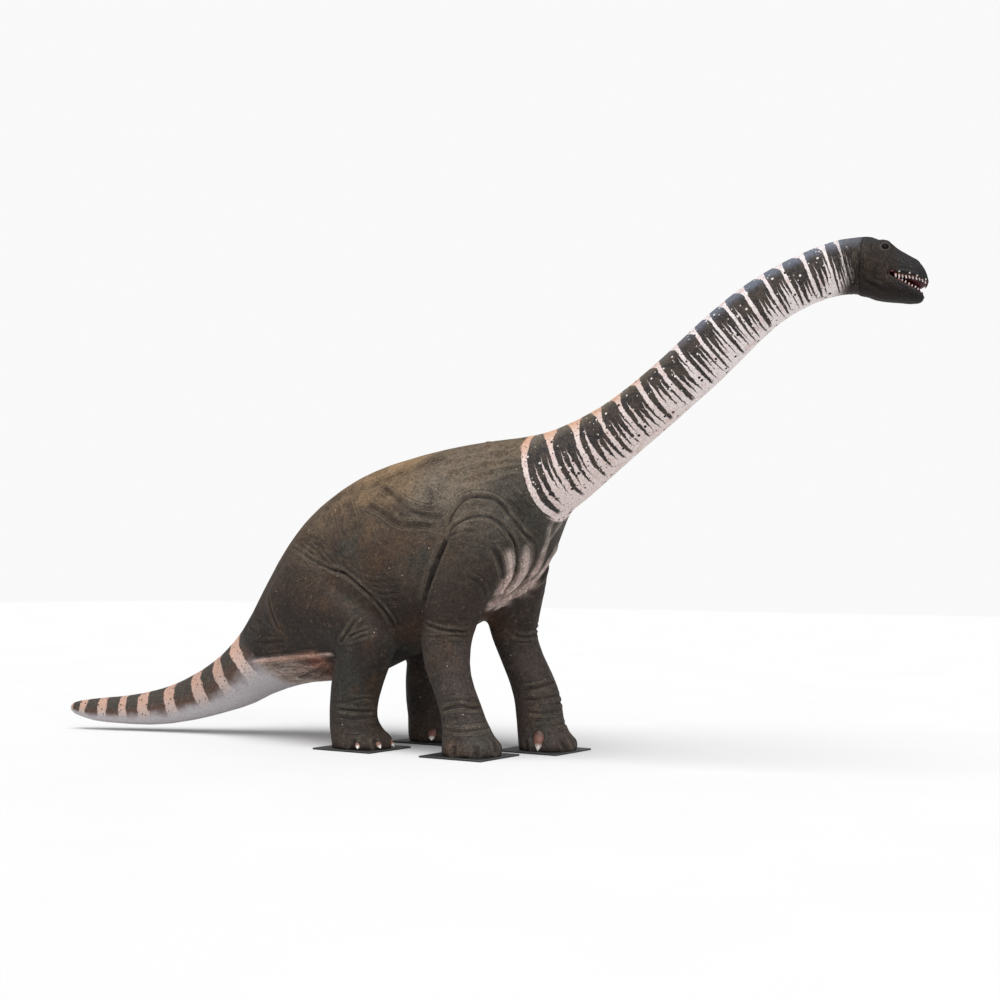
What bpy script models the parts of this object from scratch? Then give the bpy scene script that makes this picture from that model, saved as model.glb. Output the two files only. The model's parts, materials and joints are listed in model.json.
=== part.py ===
"""Life-size painted sauropod statue on four flat steel base plates, in metres with Z up.

Sizes are in the body's own frame: +X forward, +Y to the animal's left, Z up from the floor, and the
origin midway between the forefeet. The last step moves the whole model so that its origin is at the
bottom centre of its box.
"""
import math

import bmesh
import bpy
import numpy as np
from mathutils import Matrix, Vector

GAP = 0.0003

# Base plates: one flat square under each foot
PLATE_SIDE = 0.60
PLATE_THICKNESS = 0.016
PLATE_EDGE = 0.0015
SOLE = PLATE_THICKNESS + GAP
PLATE_CENTRES = {
    "fore_right": (-0.13, -0.38),
    "fore_left": (0.13, 0.38),
    "hind_right": (-1.21, -0.41),
    "hind_left": (-1.03, 0.47),
}

# The spine in plan: straight over the body, the neck bending left and the tail right
NECK_START = 0.35
NECK_TURN = math.tan(math.radians(17))
NECK_BEND = 2.4
TAIL_START = -2.0
TAIL_TURN = math.tan(math.radians(24))
TAIL_BEND = 2.2

# Trunk from tail tip to head seam: place along X, then height or half width
BACK_LINE = [
    (-4.54, 0.215), (-4.525, 0.24), (-4.47, 0.272), (-4.31, 0.297), (-4.06, 0.323), (-3.79, 0.372),
    (-3.52, 0.460), (-3.25, 0.60), (-3.0, 0.78), (-2.80, 0.98), (-2.62, 1.215), (-2.40, 1.555),
    (-2.16, 1.885), (-1.92, 2.115), (-1.69, 2.265), (-1.47, 2.375), (-1.25, 2.45), (-1.03, 2.505),
    (-0.61, 2.585), (-0.20, 2.635), (0.20, 2.665), (0.45, 2.705), (0.70, 2.795), (0.94, 2.915),
    (1.13, 3.04), (1.34, 3.20), (1.51, 3.345), (1.68, 3.50), (1.87, 3.66), (2.07, 3.81),
    (2.30, 3.945), (2.53, 4.05), (2.75, 4.125), (3.05, 4.155),
]
BELLY_LINE = [
    (-4.54, 0.211), (-4.525, 0.175), (-4.47, 0.130), (-4.31, 0.083), (-4.06, 0.058), (-3.78, 0.055),
    (-3.39, 0.105), (-3.0, 0.205), (-2.77, 0.28), (-2.56, 0.38), (-2.34, 0.455), (-2.12, 0.505),
    (-1.89, 0.53), (-1.60, 0.56), (-1.40, 0.61), (-1.17, 0.71), (-0.90, 0.82), (-0.64, 0.93),
    (-0.38, 1.06), (-0.08, 1.25), (0.16, 1.42), (0.30, 1.58), (0.38, 1.77), (0.48, 1.95),
    (0.68, 2.10), (0.85, 2.225), (1.0, 2.345), (1.20, 2.505), (1.41, 2.67), (1.64, 2.86),
    (1.83, 3.02), (2.0, 3.18), (2.15, 3.33), (2.31, 3.475), (2.48, 3.585), (2.67, 3.668),
    (2.85, 3.700), (3.05, 3.70),
]
HALF_WIDTH = [
    (-4.54, 0.004), (-4.525, 0.03), (-4.47, 0.062), (-4.31, 0.100), (-4.06, 0.128), (-3.78, 0.152),
    (-3.52, 0.185), (-3.25, 0.225), (-3.0, 0.272), (-2.75, 0.34), (-2.50, 0.43), (-2.20, 0.52),
    (-1.90, 0.57), (-1.50, 0.60), (-1.0, 0.61), (-0.50, 0.59), (-0.10, 0.53), (0.20, 0.45),
    (0.45, 0.365), (0.70, 0.295), (0.95, 0.250), (1.30, 0.232), (1.67, 0.225), (2.01, 0.212),
    (2.35, 0.193), (2.60, 0.195), (2.80, 0.205), (3.05, 0.212),
]
WIDEST = [(-4.54, 0.5), (-3.0, 0.48), (-2.0, 0.42), (-0.5, 0.42), (0.4, 0.47), (1.2, 0.5), (3.05, 0.5)]
TRUNK_STEP = 0.045
TRUNK_SIDES = 48

# Leg columns: height, centre X, centre Y outward from the mid-plane, half length, half width
RIGHT_SHOULDER = [
    (1.19, -0.285, 0.405, 0.248, 0.235), (1.42, -0.165, 0.40, 0.29, 0.265),
    (1.65, -0.03, 0.385, 0.345, 0.285), (1.85, 0.02, 0.36, 0.33, 0.265),
    (2.00, 0.04, 0.34, 0.265, 0.215), (2.12, 0.05, 0.32, 0.14, 0.12),
]
LEFT_SHOULDER = [
    (1.19, -0.195, 0.40, 0.245, 0.225), (1.42, -0.175, 0.39, 0.280, 0.245),
    (1.65, -0.145, 0.37, 0.292, 0.255), (1.85, -0.14, 0.345, 0.26, 0.235),
    (2.00, -0.13, 0.32, 0.21, 0.195), (2.12, -0.12, 0.30, 0.11, 0.11),
]
FORELEG_RIGHT = [
    (-0.04, -0.115, 0.38, 0.235, 0.225), (0.03, -0.115, 0.38, 0.250, 0.240),
    (0.09, -0.118, 0.38, 0.247, 0.238), (0.16, -0.140, 0.38, 0.222, 0.218),
    (0.29, -0.185, 0.38, 0.192, 0.188), (0.43, -0.232, 0.385, 0.182, 0.178),
    (0.55, -0.283, 0.39, 0.180, 0.175), (0.67, -0.328, 0.395, 0.188, 0.180),
    (0.79, -0.352, 0.40, 0.200, 0.190), (0.96, -0.350, 0.405, 0.218, 0.208),
]
FORELEG_LEFT = [
    (-0.04, 0.165, 0.38, 0.235, 0.225), (0.03, 0.165, 0.38, 0.248, 0.240),
    (0.09, 0.158, 0.38, 0.245, 0.238), (0.16, 0.130, 0.38, 0.228, 0.220),
    (0.27, 0.095, 0.38, 0.210, 0.198), (0.38, 0.080, 0.38, 0.210, 0.190),
    (0.50, 0.048, 0.385, 0.210, 0.188), (0.64, -0.016, 0.39, 0.208, 0.188),
    (0.82, -0.118, 0.40, 0.200, 0.190), (1.00, -0.192, 0.405, 0.206, 0.205),
]
HINDLEG_TOP = [
    (1.05, -1.16, 0.455, 0.255, 0.20), (1.30, -1.40, 0.44, 0.24, 0.18), (1.50, -1.55, 0.42, 0.16, 0.12),
]
HINDLEG_RIGHT = [
    (-0.04, -1.20, 0.43, 0.245, 0.235), (0.03, -1.20, 0.43, 0.262, 0.250),
    (0.09, -1.21, 0.43, 0.258, 0.248), (0.17, -1.258, 0.43, 0.232, 0.228),
    (0.28, -1.293, 0.43, 0.208, 0.205), (0.41, -1.280, 0.435, 0.216, 0.205),
    (0.60, -1.232, 0.445, 0.238, 0.215), (0.78, -1.165, 0.455, 0.257, 0.222),
    (0.93, -1.112, 0.46, 0.264, 0.225),
]
HINDLEG_LEFT = [
    (-0.04, -1.03, 0.47, 0.245, 0.235), (0.03, -1.03, 0.47, 0.262, 0.250),
    (0.09, -1.04, 0.47, 0.258, 0.248), (0.17, -1.070, 0.47, 0.235, 0.228),
    (0.28, -1.110, 0.47, 0.208, 0.205), (0.41, -1.125, 0.47, 0.212, 0.205),
    (0.60, -1.105, 0.465, 0.232, 0.215), (0.78, -1.060, 0.465, 0.252, 0.222),
    (0.93, -1.020, 0.465, 0.262, 0.225),
]
LEG_SIDES = 32

# Thigh masses: place along X, underside, top, centre Y outward, half width
THIGH = [
    (-2.32, 1.10, 1.14, 0.34, 0.03), (-2.28, 0.97, 1.26, 0.35, 0.12), (-2.18, 0.87, 1.44, 0.37, 0.20),
    (-2.00, 0.82, 1.65, 0.39, 0.255), (-1.75, 0.81, 1.76, 0.405, 0.275), (-1.50, 0.82, 1.57, 0.42, 0.275),
    (-1.27, 0.80, 1.37, 0.44, 0.255), (-1.05, 0.77, 1.18, 0.455, 0.225), (-0.92, 0.80, 1.06, 0.46, 0.16),
    (-0.85, 0.90, 0.97, 0.46, 0.05),
]
THIGH_STEP = 0.05

# Toe lobes round each forward edge, as angles from straight ahead, outward side positive
FORE_TOES = (-46, -8, 30, 68, 106)
HIND_TOES = (-50, -14, 22, 58, 94)
TOE_RADII = (0.072, 0.072, 0.085)
TOE_REACH = 0.82

# Claws: angle outward from straight ahead, then length, root radius and height of the root
THUMB_CLAW = (-72, 0.127, 0.045, 0.150)
HIND_CLAWS = (
    (-64, 0.095, 0.038, 0.100), (-20, 0.075, 0.028, 0.078),
    (20, 0.075, 0.028, 0.078), (60, 0.070, 0.026, 0.074),
)
FORE_CLAW_SLOPE = 2.0
HIND_CLAW_SLOPE = 0.62
CLAW_DROP = 0.10
CLAW_SINK = 0.86
CLAW_SIDES = 8
CLAW_RINGS = 4

# Head, in its own plane: place forward of the seam, then height or half width
SEAM_X = 2.93
SEAM_TILT = math.radians(4)
HEAD_TURN = math.radians(17)
HEAD_ROLL = math.radians(8)
HEAD_MIDDLE = 3.88
SKULL_TOP = [
    (-0.10, 4.135), (0.0, 4.148), (0.08, 4.143), (0.145, 4.118), (0.19, 4.112), (0.23, 4.090),
    (0.276, 4.045), (0.335, 4.003), (0.402, 3.961), (0.450, 3.918), (0.482, 3.870), (0.500, 3.825),
    (0.508, 3.790), (0.512, 3.775),
]
SKULL_UNDER = [
    (-0.10, 3.690), (0.0, 3.682), (0.08, 3.664), (0.14, 3.655), (0.18, 3.695), (0.205, 3.775),
    (0.235, 3.810), (0.32, 3.814), (0.38, 3.803), (0.44, 3.780), (0.48, 3.760), (0.500, 3.754),
    (0.508, 3.758), (0.512, 3.765),
]
SKULL_WIDTH = [
    (-0.10, 0.212), (0.0, 0.212), (0.08, 0.205), (0.15, 0.188), (0.22, 0.166), (0.30, 0.148), (0.38, 0.130),
    (0.44, 0.108), (0.48, 0.080), (0.500, 0.050), (0.508, 0.028), (0.512, 0.008),
]
SKULL_WIDEST = [(-0.10, 0.50), (0.15, 0.46), (0.25, 0.30), (0.45, 0.24), (0.512, 0.30)]
SKULL_SQUARE = [(-0.10, 1.0), (0.10, 1.0), (0.20, 0.5), (0.512, 0.42)]
JAW_TOP = [
    (0.02, 3.760), (0.08, 3.800), (0.16, 3.814), (0.215, 3.810), (0.25, 3.792), (0.30, 3.757), (0.36, 3.722),
    (0.41, 3.697), (0.445, 3.680), (0.468, 3.660), (0.478, 3.643),
]
JAW_UNDER = [
    (0.02, 3.700), (0.08, 3.662), (0.16, 3.638), (0.26, 3.622), (0.32, 3.614), (0.38, 3.605), (0.43, 3.605),
    (0.455, 3.612), (0.468, 3.624), (0.478, 3.638),
]
JAW_WIDTH = [
    (0.02, 0.085), (0.08, 0.136), (0.15, 0.166), (0.22, 0.166), (0.30, 0.144), (0.36, 0.126), (0.41, 0.105),
    (0.445, 0.080), (0.468, 0.048), (0.478, 0.010),
]
JAW_WIDEST = [(0.02, 0.5), (0.20, 0.58), (0.478, 0.66)]
JAW_SQUARE = [(0.02, 1.0), (0.12, 0.9), (0.22, 0.45), (0.478, 0.45)]
EVEN = [(0.0, 1.0), (0.5, 1.0)]
BOXY = [(0.0, 0.6), (0.5, 0.6)]
MIDWAY = [(0.0, 0.5), (0.5, 0.5)]
HEAD_STEP = 0.012
HEAD_SIDES = 40
SNOUT_ROUND = 0.05
HOLLOW_SIDES = 14
HOLLOW_STEP = 0.035
MOUTH_CORNER = 0.232
MOUTH_END = 0.462
LIP = 0.024
PALATE_DEPTH = 0.042
JAW_FLOOR_DEPTH = 0.028
JAW_CUT_BACK = (0.02, 3.60)
JAW_CUT_AHEAD = 0.06
JAW_CUT_HALF = 0.30
EYE_PLACE = (0.186, 0.128, 4.010)
EYE_RADIUS = 0.028
EYE_SEGMENTS = 12
EYE_RINGS = 8
BROW = (0.160, 0.082, 4.050)
BROW_RADII = (0.080, 0.050, 0.047)
TOOTH_LENGTH = 0.030
TOOTH_OF_GAPE = 0.42
TOOTH_START = 0.035
TOOTH_INSET = 0.95 * LIP
TOOTH_SINK = 0.008
TOOTH_RADIUS = 0.011
TOOTH_SPACING = 0.036
TOOTH_SIDES = 5

# Fineness of the joined surfaces
BODY_VOXEL = 0.028
BODY_SMOOTHING = 6
BODY_TRIANGLES = 6400
HEAD_VOXEL = 0.009
HEAD_SMOOTHING = 3
HEAD_TRIANGLES = 2000
SOCKET_MARGIN = 0.045
SOCKET_VOXEL = 0.05
SOCKET_TRIANGLES = 300

# Thin cuts across the trunk: place along X and lean of the cut, negative where its top leans back
TRUNK_CUTS = {"tail_tip": (-3.78, -8), "tail_middle": (-3.12, -24), "tail_base": (-2.48, -38),
              "neck_lower": (0.62, -38), "neck_middle": (1.42, -42), "neck_upper": (2.20, -36)}
CUT_SIZE = 1.6

COLOURS = {
    "skin": ((0.115, 0.095, 0.078), 0.75, 0.0),
    "eye": ((0.012, 0.010, 0.010), 0.12, 0.0),
    "claw": ((0.42, 0.24, 0.19), 0.45, 0.0),
    "plate": ((0.055, 0.055, 0.058), 0.55, 0.6),
}


# Scene and materials
def clear_scene():
    for obj in list(bpy.data.objects):
        bpy.data.objects.remove(obj, do_unlink=True)


def make_materials():
    made = {}
    for name, (colour, roughness, metallic) in COLOURS.items():
        material = bpy.data.materials.new(name)
        material.use_nodes = True
        shader = material.node_tree.nodes["Principled BSDF"]
        shader.inputs["Base Color"].default_value = (*colour, 1.0)
        shader.inputs["Roughness"].default_value = roughness
        shader.inputs["Metallic"].default_value = metallic
        made[name] = material
    return made


# Curves through the listed points
def along(points, at):
    """The height at this place of a smooth curve through (place, height) points, with no overshoot."""
    x = np.array([p[0] for p in points])
    y = np.array([p[1] for p in points])
    step = np.diff(x)
    slope = np.diff(y) / step
    tangent = np.concatenate([[slope[0]], (slope[1:] + slope[:-1]) / 2, [slope[-1]]])
    turning = np.concatenate([[False], slope[1:] * slope[:-1] <= 0, [False]])
    tangent[turning] = 0.0
    i = int(np.clip(np.searchsorted(x, at) - 1, 0, len(step) - 1))
    t = min(max((at - x[i]) / step[i], 0.0), 1.0)
    rise = y[i] * (2 * t**3 - 3 * t**2 + 1) + y[i + 1] * (3 * t**2 - 2 * t**3)
    bend = step[i] * (tangent[i] * (t**3 - 2 * t**2 + t) + tangent[i + 1] * (t**3 - t**2))
    return float(rise + bend)


def column(table, number):
    """The points (first value, value of this number) of a table's rows."""
    return [(row[0], row[number]) for row in table]


def plan_bend(run, turn, length):
    """Sideways reach of a path that turns evenly over a length and then runs straight."""
    if run < length:
        return turn * run * run / (2 * length)
    return turn * length / 2 + turn * (run - length)


def spine_side(x):
    """Y of the spine at this X."""
    if x > NECK_START:
        return plan_bend(x - NECK_START, NECK_TURN, NECK_BEND)
    if x < TAIL_START:
        return -plan_bend(TAIL_START - x, TAIL_TURN, TAIL_BEND)
    return 0.0


def spine_heading(x):
    """Angle of the spine in plan at this X."""
    reach = 0.01
    return math.atan((spine_side(x + reach) - spine_side(x - reach)) / (2 * reach))


def head_point(forward, sideways, height):
    """A point given in the head's own plane, in the body's frame. The head leans a little to its left."""
    above = height - HEAD_MIDDLE
    across = sideways * math.cos(HEAD_ROLL) + above * math.sin(HEAD_ROLL)
    rise = above * math.cos(HEAD_ROLL) - sideways * math.sin(HEAD_ROLL)
    c = math.cos(HEAD_TURN)
    s = math.sin(HEAD_TURN)
    x = SEAM_X + forward * c - across * s
    y = spine_side(SEAM_X) + forward * s + across * c
    return Vector((x, y, HEAD_MIDDLE + rise))


# Closed bodies
def link(mesh, name):
    obj = bpy.data.objects.new(name, mesh)
    bpy.context.scene.collection.objects.link(obj)
    return obj


def loft(name, rings):
    """A closed body through rings of like numbers of points, with a point at the middle of each end ring."""
    bm = bmesh.new()
    rows = [[bm.verts.new(p) for p in ring] for ring in rings]
    sides = len(rows[0])
    for low, high in zip(rows, rows[1:]):
        for i in range(sides):
            j = (i + 1) % sides
            bm.faces.new((low[i], low[j], high[j], high[i]))
    for row, ends in ((rows[0], rings[0]), (rows[-1], rings[-1])):
        middle = bm.verts.new(sum((Vector(p) for p in ends), Vector()) / sides)
        for i in range(sides):
            bm.faces.new((row[i], row[(i + 1) % sides], middle))
    bmesh.ops.recalc_face_normals(bm, faces=bm.faces)
    mesh = bpy.data.meshes.new(name)
    bm.to_mesh(mesh)
    bm.free()
    return link(mesh, name)


def ellipsoid(name, centre, radii, segments=20, rings=12):
    bm = bmesh.new()
    bmesh.ops.create_uvsphere(bm, u_segments=segments, v_segments=rings, radius=1.0)
    bmesh.ops.scale(bm, vec=radii, verts=bm.verts)
    bmesh.ops.translate(bm, vec=centre, verts=bm.verts)
    mesh = bpy.data.meshes.new(name)
    bm.to_mesh(mesh)
    bm.free()
    return link(mesh, name)


def box(name, centre, sizes, tilt=0.0, turn=0.0):
    """A box leaned about Y by tilt and then turned about Z."""
    bm = bmesh.new()
    bmesh.ops.create_cube(bm, size=1.0)
    bmesh.ops.scale(bm, vec=sizes, verts=bm.verts)
    for angle, axis in ((tilt, "Y"), (turn, "Z")):
        bmesh.ops.rotate(bm, cent=(0, 0, 0), matrix=Matrix.Rotation(angle, 3, axis), verts=bm.verts)
    bmesh.ops.translate(bm, vec=centre, verts=bm.verts)
    mesh = bpy.data.meshes.new(name)
    bm.to_mesh(mesh)
    bm.free()
    return link(mesh, name)


def bake(obj):
    """Applies the object's modifiers."""
    graph = bpy.context.evaluated_depsgraph_get()
    mesh = bpy.data.meshes.new_from_object(obj.evaluated_get(graph))
    obj.modifiers.clear()
    old = obj.data
    obj.data = mesh
    bpy.data.meshes.remove(old)
    return obj


def join(name, parts):
    """One mesh of all the parts, still overlapping."""
    bm = bmesh.new()
    for part in parts:
        bm.from_mesh(part.data)
        bpy.data.objects.remove(part, do_unlink=True)
    mesh = bpy.data.meshes.new(name)
    bm.to_mesh(mesh)
    bm.free()
    return link(mesh, name)


def fuse(obj, voxel, smoothing, triangles):
    """Melts overlapping bodies into one skin and thins it to about this many triangles."""
    remesh = obj.modifiers.new("Remesh", "REMESH")
    remesh.mode = "VOXEL"
    remesh.voxel_size = voxel
    bake(obj)
    smooth = obj.modifiers.new("Smooth", "SMOOTH")
    smooth.factor = 0.5
    smooth.iterations = smoothing
    bake(obj)
    faces = 2 * len(obj.data.polygons)
    thin = obj.modifiers.new("Thin", "DECIMATE")
    thin.ratio = triangles / faces
    thin.use_collapse_triangulate = True
    return bake(obj)


def grow(obj, name, distance):
    """A copy of the object whose surface lies this far outside it."""
    wider = link(obj.data.copy(), name)
    offset = wider.modifiers.new("Offset", "DISPLACE")
    offset.strength = distance
    offset.mid_level = 0.0
    return bake(wider)


def cut(obj, cutter, operation="DIFFERENCE"):
    boolean = obj.modifiers.new("Cut", "BOOLEAN")
    boolean.operation = operation
    boolean.object = cutter
    boolean.solver = "EXACT"
    return bake(obj)


def cut_all(obj, cutters, operation="DIFFERENCE", solver="EXACT"):
    """Cuts by, or unites with, each closed body of a list at once."""
    group = bpy.data.collections.new("cutters")
    bpy.context.scene.collection.children.link(group)
    for cutter in cutters:
        group.objects.link(cutter)
    boolean = obj.modifiers.new("Cut", "BOOLEAN")
    boolean.operation = operation
    boolean.operand_type = "COLLECTION"
    boolean.collection = group
    boolean.solver = solver
    bake(obj)
    for cutter in cutters:
        bpy.data.objects.remove(cutter, do_unlink=True)
    bpy.data.collections.remove(group)
    return obj


def shells(obj):
    """The object's separate closed surfaces as new objects, largest box first."""
    bm = bmesh.new()
    bm.from_mesh(obj.data)
    left = set(bm.verts)
    groups = []
    while left:
        group = set()
        todo = [left.pop()]
        while todo:
            vert = todo.pop()
            group.add(vert)
            for edge in vert.link_edges:
                other = edge.other_vert(vert)
                if other in left:
                    left.remove(other)
                    todo.append(other)
        groups.append(group)
    made = []
    for group in groups:
        part = bmesh.new()
        ordered = sorted(group, key=lambda v: v.index)
        copies = {v: part.verts.new(v.co) for v in ordered}
        for face in bm.faces:
            if face.verts[0] in group:
                part.faces.new([copies[v] for v in face.verts])
        mesh = bpy.data.meshes.new("shell")
        part.to_mesh(mesh)
        part.free()
        made.append(link(mesh, "shell"))
    bm.free()
    bpy.data.objects.remove(obj, do_unlink=True)
    return sorted(made, key=lambda o: -span(o))


def span(obj):
    """Diagonal of the object's box."""
    points = np.array([v.co for v in obj.data.vertices])
    return float(np.linalg.norm(points.max(0) - points.min(0)))


def main_shells(obj, count):
    """The object's largest closed surfaces, this many, with any smaller scrap removed."""
    found = shells(obj)
    for scrap in found[count:]:
        bpy.data.objects.remove(scrap, do_unlink=True)
    return found[:count]


def largest(obj, name):
    """The object's largest closed surface alone."""
    found = main_shells(obj, 1)[0]
    found.name = name
    return found


# Body masses
def trunk():
    rings = []
    count = round((BACK_LINE[-1][0] - BACK_LINE[0][0]) / TRUNK_STEP)
    places = [p[0] for p in BACK_LINE[:3]]
    places += list(np.linspace(BACK_LINE[3][0], BACK_LINE[-1][0], count))
    for x in places:
        top = along(BACK_LINE, x)
        bottom = along(BELLY_LINE, x)
        width = along(HALF_WIDTH, x)
        middle = bottom + along(WIDEST, x) * (top - bottom)
        heading = spine_heading(x)
        ring = []
        for i in range(TRUNK_SIDES):
            angle = 2 * math.pi * i / TRUNK_SIDES
            out = width * math.cos(angle)
            rise = math.sin(angle)
            height = middle + rise * (top - middle if rise > 0 else middle - bottom)
            ring.append((x - out * math.sin(heading), spine_side(x) + out * math.cos(heading), height))
        rings.append(ring)
    return loft("trunk", rings)


def leg_column(stations, side, margin=0.0):
    """A leg as level rings from the sole up into the body. side is -1 for right and 1 for left."""
    low = stations[0][0]
    high = stations[-1][0]
    rings = []
    for height in np.linspace(low, high, round((high - low) / 0.04)):
        x, y, length, width = (along(column(stations, k), height) for k in (1, 2, 3, 4))
        ring = []
        for i in range(LEG_SIDES):
            angle = 2 * math.pi * i / LEG_SIDES
            ring.append((x + (length + margin) * math.cos(angle),
                         side * y + (width + margin) * math.sin(angle), height))
        rings.append(ring)
    if margin:
        rings[0] = [(p[0], p[1], p[2] - margin) for p in rings[0]]
        rings[-1] = [(p[0], p[1], p[2] + margin) for p in rings[-1]]
    return loft("column", rings)


def thigh(side, forward=0.0, margin=0.0):
    rings = []
    first = THIGH[0][0]
    last = THIGH[-1][0]
    for x in np.linspace(first, last, round((last - first) / THIGH_STEP)):
        bottom, top, y, width = (along(column(THIGH, k), x) for k in (1, 2, 3, 4))
        ring = []
        for i in range(LEG_SIDES):
            angle = 2 * math.pi * i / LEG_SIDES
            out = side * y + (width + margin) * math.cos(angle)
            height = (bottom + top) / 2 + ((top - bottom) / 2 + margin) * math.sin(angle)
            ring.append((x + forward, out, height))
        rings.append(ring)
    if margin:
        rings[0] = [(p[0] - margin, p[1], p[2]) for p in rings[0]]
        rings[-1] = [(p[0] + margin, p[1], p[2]) for p in rings[-1]]
    return loft("thigh", rings)


def foot_point(stations, side, angle, reach, height):
    """A point of a foot, at this angle outward from straight ahead and this share of its radius."""
    x, y, length, width = (along(column(stations, k), height) for k in (1, 2, 3, 4))
    turn = math.radians(angle)
    return Vector((x + reach * length * math.cos(turn), side * (y + reach * width * math.sin(turn)), height))


def toes(stations, side, angles):
    made = []
    for angle in angles:
        centre = foot_point(stations, side, angle, TOE_REACH, 0.06)
        made.append(ellipsoid("toe", centre, TOE_RADII))
    return made


LEGS = {
    "foreleg_right": (FORELEG_RIGHT + RIGHT_SHOULDER, -1, FORE_TOES, None),
    "foreleg_left": (FORELEG_LEFT + LEFT_SHOULDER, 1, FORE_TOES, None),
    "hindleg_right": (HINDLEG_RIGHT + HINDLEG_TOP, -1, HIND_TOES, 0.0),
    "hindleg_left": (HINDLEG_LEFT + HINDLEG_TOP, 1, HIND_TOES, 0.09),
}


def leg_masses(name, margin=0.0):
    stations, side, angles, thigh_forward = LEGS[name]
    parts = [leg_column(stations, side, margin)]
    if thigh_forward is not None:
        parts.append(thigh(side, thigh_forward, margin))
    if not margin:
        parts += toes(stations, side, angles)
    return parts


def whole_body():
    parts = [trunk()]
    for name in LEGS:
        parts += leg_masses(name)
    body = fuse(join("body", parts), BODY_VOXEL, BODY_SMOOTHING, BODY_TRIANGLES)
    below = box("below", (-0.5, 0, SOLE - 0.5), (12, 4, 1.0))
    cut(body, below)
    bpy.data.objects.remove(below, do_unlink=True)
    return body


# Claws
def claw(name, root, aim, length, radius):
    """A blunt curved cone from its sunk root towards aim, bending down to its tip."""
    rings = []
    aim = Vector(aim).normalized()
    down = Vector((0, 0, -1))
    side = aim.cross(down).normalized()
    for k in range(CLAW_RINGS):
        t = k / (CLAW_RINGS - 1)
        centre = Vector(root) + aim * length * t + down * length * CLAW_DROP * t * t
        size = radius * max(math.sqrt(max(1 - t**2.2, 0.0)), 0.06)
        up = side.cross(aim)
        ring = []
        for i in range(CLAW_SIDES):
            angle = 2 * math.pi * i / CLAW_SIDES
            ring.append(centre + side * size * math.cos(angle) + up * size * math.sin(angle))
        rings.append(ring)
    return loft(name, rings)


def all_claws():
    """Each claw with the leg that it grows from."""
    made = []
    for name, (stations, side, _, thigh_forward) in LEGS.items():
        end = name.split("_")[1]
        if thigh_forward is None:
            rows = {"thumb_claw_" + end: THUMB_CLAW}
        else:
            rows = {f"hind_claw_{end}_{number}": row for number, row in enumerate(HIND_CLAWS, 1)}
        for node, (angle, length, radius, height) in rows.items():
            root = foot_point(stations, side, angle, CLAW_SINK, height)
            turn = math.radians(angle)
            outward = Vector((math.cos(turn), side * math.sin(turn), 0.0))
            slope = FORE_CLAW_SLOPE if thigh_forward is None else HIND_CLAW_SLOPE
            made.append((claw(node, root, outward - Vector((0, 0, slope)), length, radius), name))
    return made


# Head
def head_loft(name, top, under, width, widest, upper=None, lower=None, sides=HEAD_SIDES, step=HEAD_STEP):
    """A head form from its top, under and plan lines. A power below 1 squares its upper or lower half."""
    rings = []
    first = top[0][0]
    last = top[-1][0]
    places = list(np.linspace(first, last - SNOUT_ROUND, round((last - SNOUT_ROUND - first) / step)))
    ends = max(3, round(SNOUT_ROUND / step * 2))
    places += [last - SNOUT_ROUND * (1 - math.sin(math.pi / 2 * k / ends)) for k in range(1, ends + 1)]
    for forward in places:
        high = along(top, forward)
        low = along(under, forward)
        half = along(width, forward)
        middle = low + along(widest, forward) * (high - low)
        ring = []
        for i in range(sides):
            angle = 2 * math.pi * i / sides
            c = math.cos(angle)
            s = math.sin(angle)
            power = along((upper if s > 0 else lower) or EVEN, forward)
            out = half * math.copysign(abs(c) ** power, c)
            reach = high - middle if s > 0 else middle - low
            ring.append(head_point(forward, out, middle + reach * math.copysign(abs(s) ** power, s)))
        rings.append(ring)
    return loft(name, rings)


def mouth_hollow():
    """The space inside the lips, from the palate down to the jaw's floor."""
    places = np.linspace(MOUTH_CORNER - 0.03, MOUTH_END, 14)
    inner = [(p, max(min(along(SKULL_WIDTH, p), along(JAW_WIDTH, p)) - LIP, 0.012)) for p in places]
    high = [(p, along(SKULL_UNDER, p) + PALATE_DEPTH) for p in places]
    low = [(p, along(JAW_TOP, p) - JAW_FLOOR_DEPTH) for p in places]
    return head_loft("hollow", high, low, inner, MIDWAY, BOXY, BOXY, HOLLOW_SIDES, HOLLOW_STEP)


def between_lips(forward):
    """Height midway between the upper and the lower lip."""
    return (along(SKULL_UNDER, forward) + along(JAW_TOP, forward)) / 2


def jaw_cut():
    """A thin cut that runs back between the lips to the mouth's corners and then down to the throat."""
    reach = MOUTH_CORNER + JAW_CUT_AHEAD
    places = [(reach, between_lips(reach)), (MOUTH_CORNER, between_lips(MOUTH_CORNER)), JAW_CUT_BACK]
    rings = []
    for forward, height in places:
        corners = ((-1, -1), (1, -1), (1, 1), (-1, 1))
        rings.append([head_point(forward, s * JAW_CUT_HALF, height + r * GAP / 2) for s, r in corners])
    return loft("jaw_cut", rings)


def tooth(root, rise, outward, length):
    """A pointed tooth with its root sunk in the gum, leaning a little outward."""
    rings = []
    axis = (Vector((0, 0, rise)) + outward * 0.12).normalized()
    across = axis.cross(Vector((1, 0, 0))).normalized()
    other = axis.cross(across)
    for t, share in ((-0.5, 1.0), (0.5, 0.95), (1.0, 0.25)):
        centre = root + axis * length * t
        ring = []
        for i in range(TOOTH_SIDES):
            angle = 2 * math.pi * i / TOOTH_SIDES
            size = TOOTH_RADIUS * share
            ring.append(centre + across * size * math.cos(angle) + other * size * math.sin(angle))
        rings.append(ring)
    return loft("tooth", rings)


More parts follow.
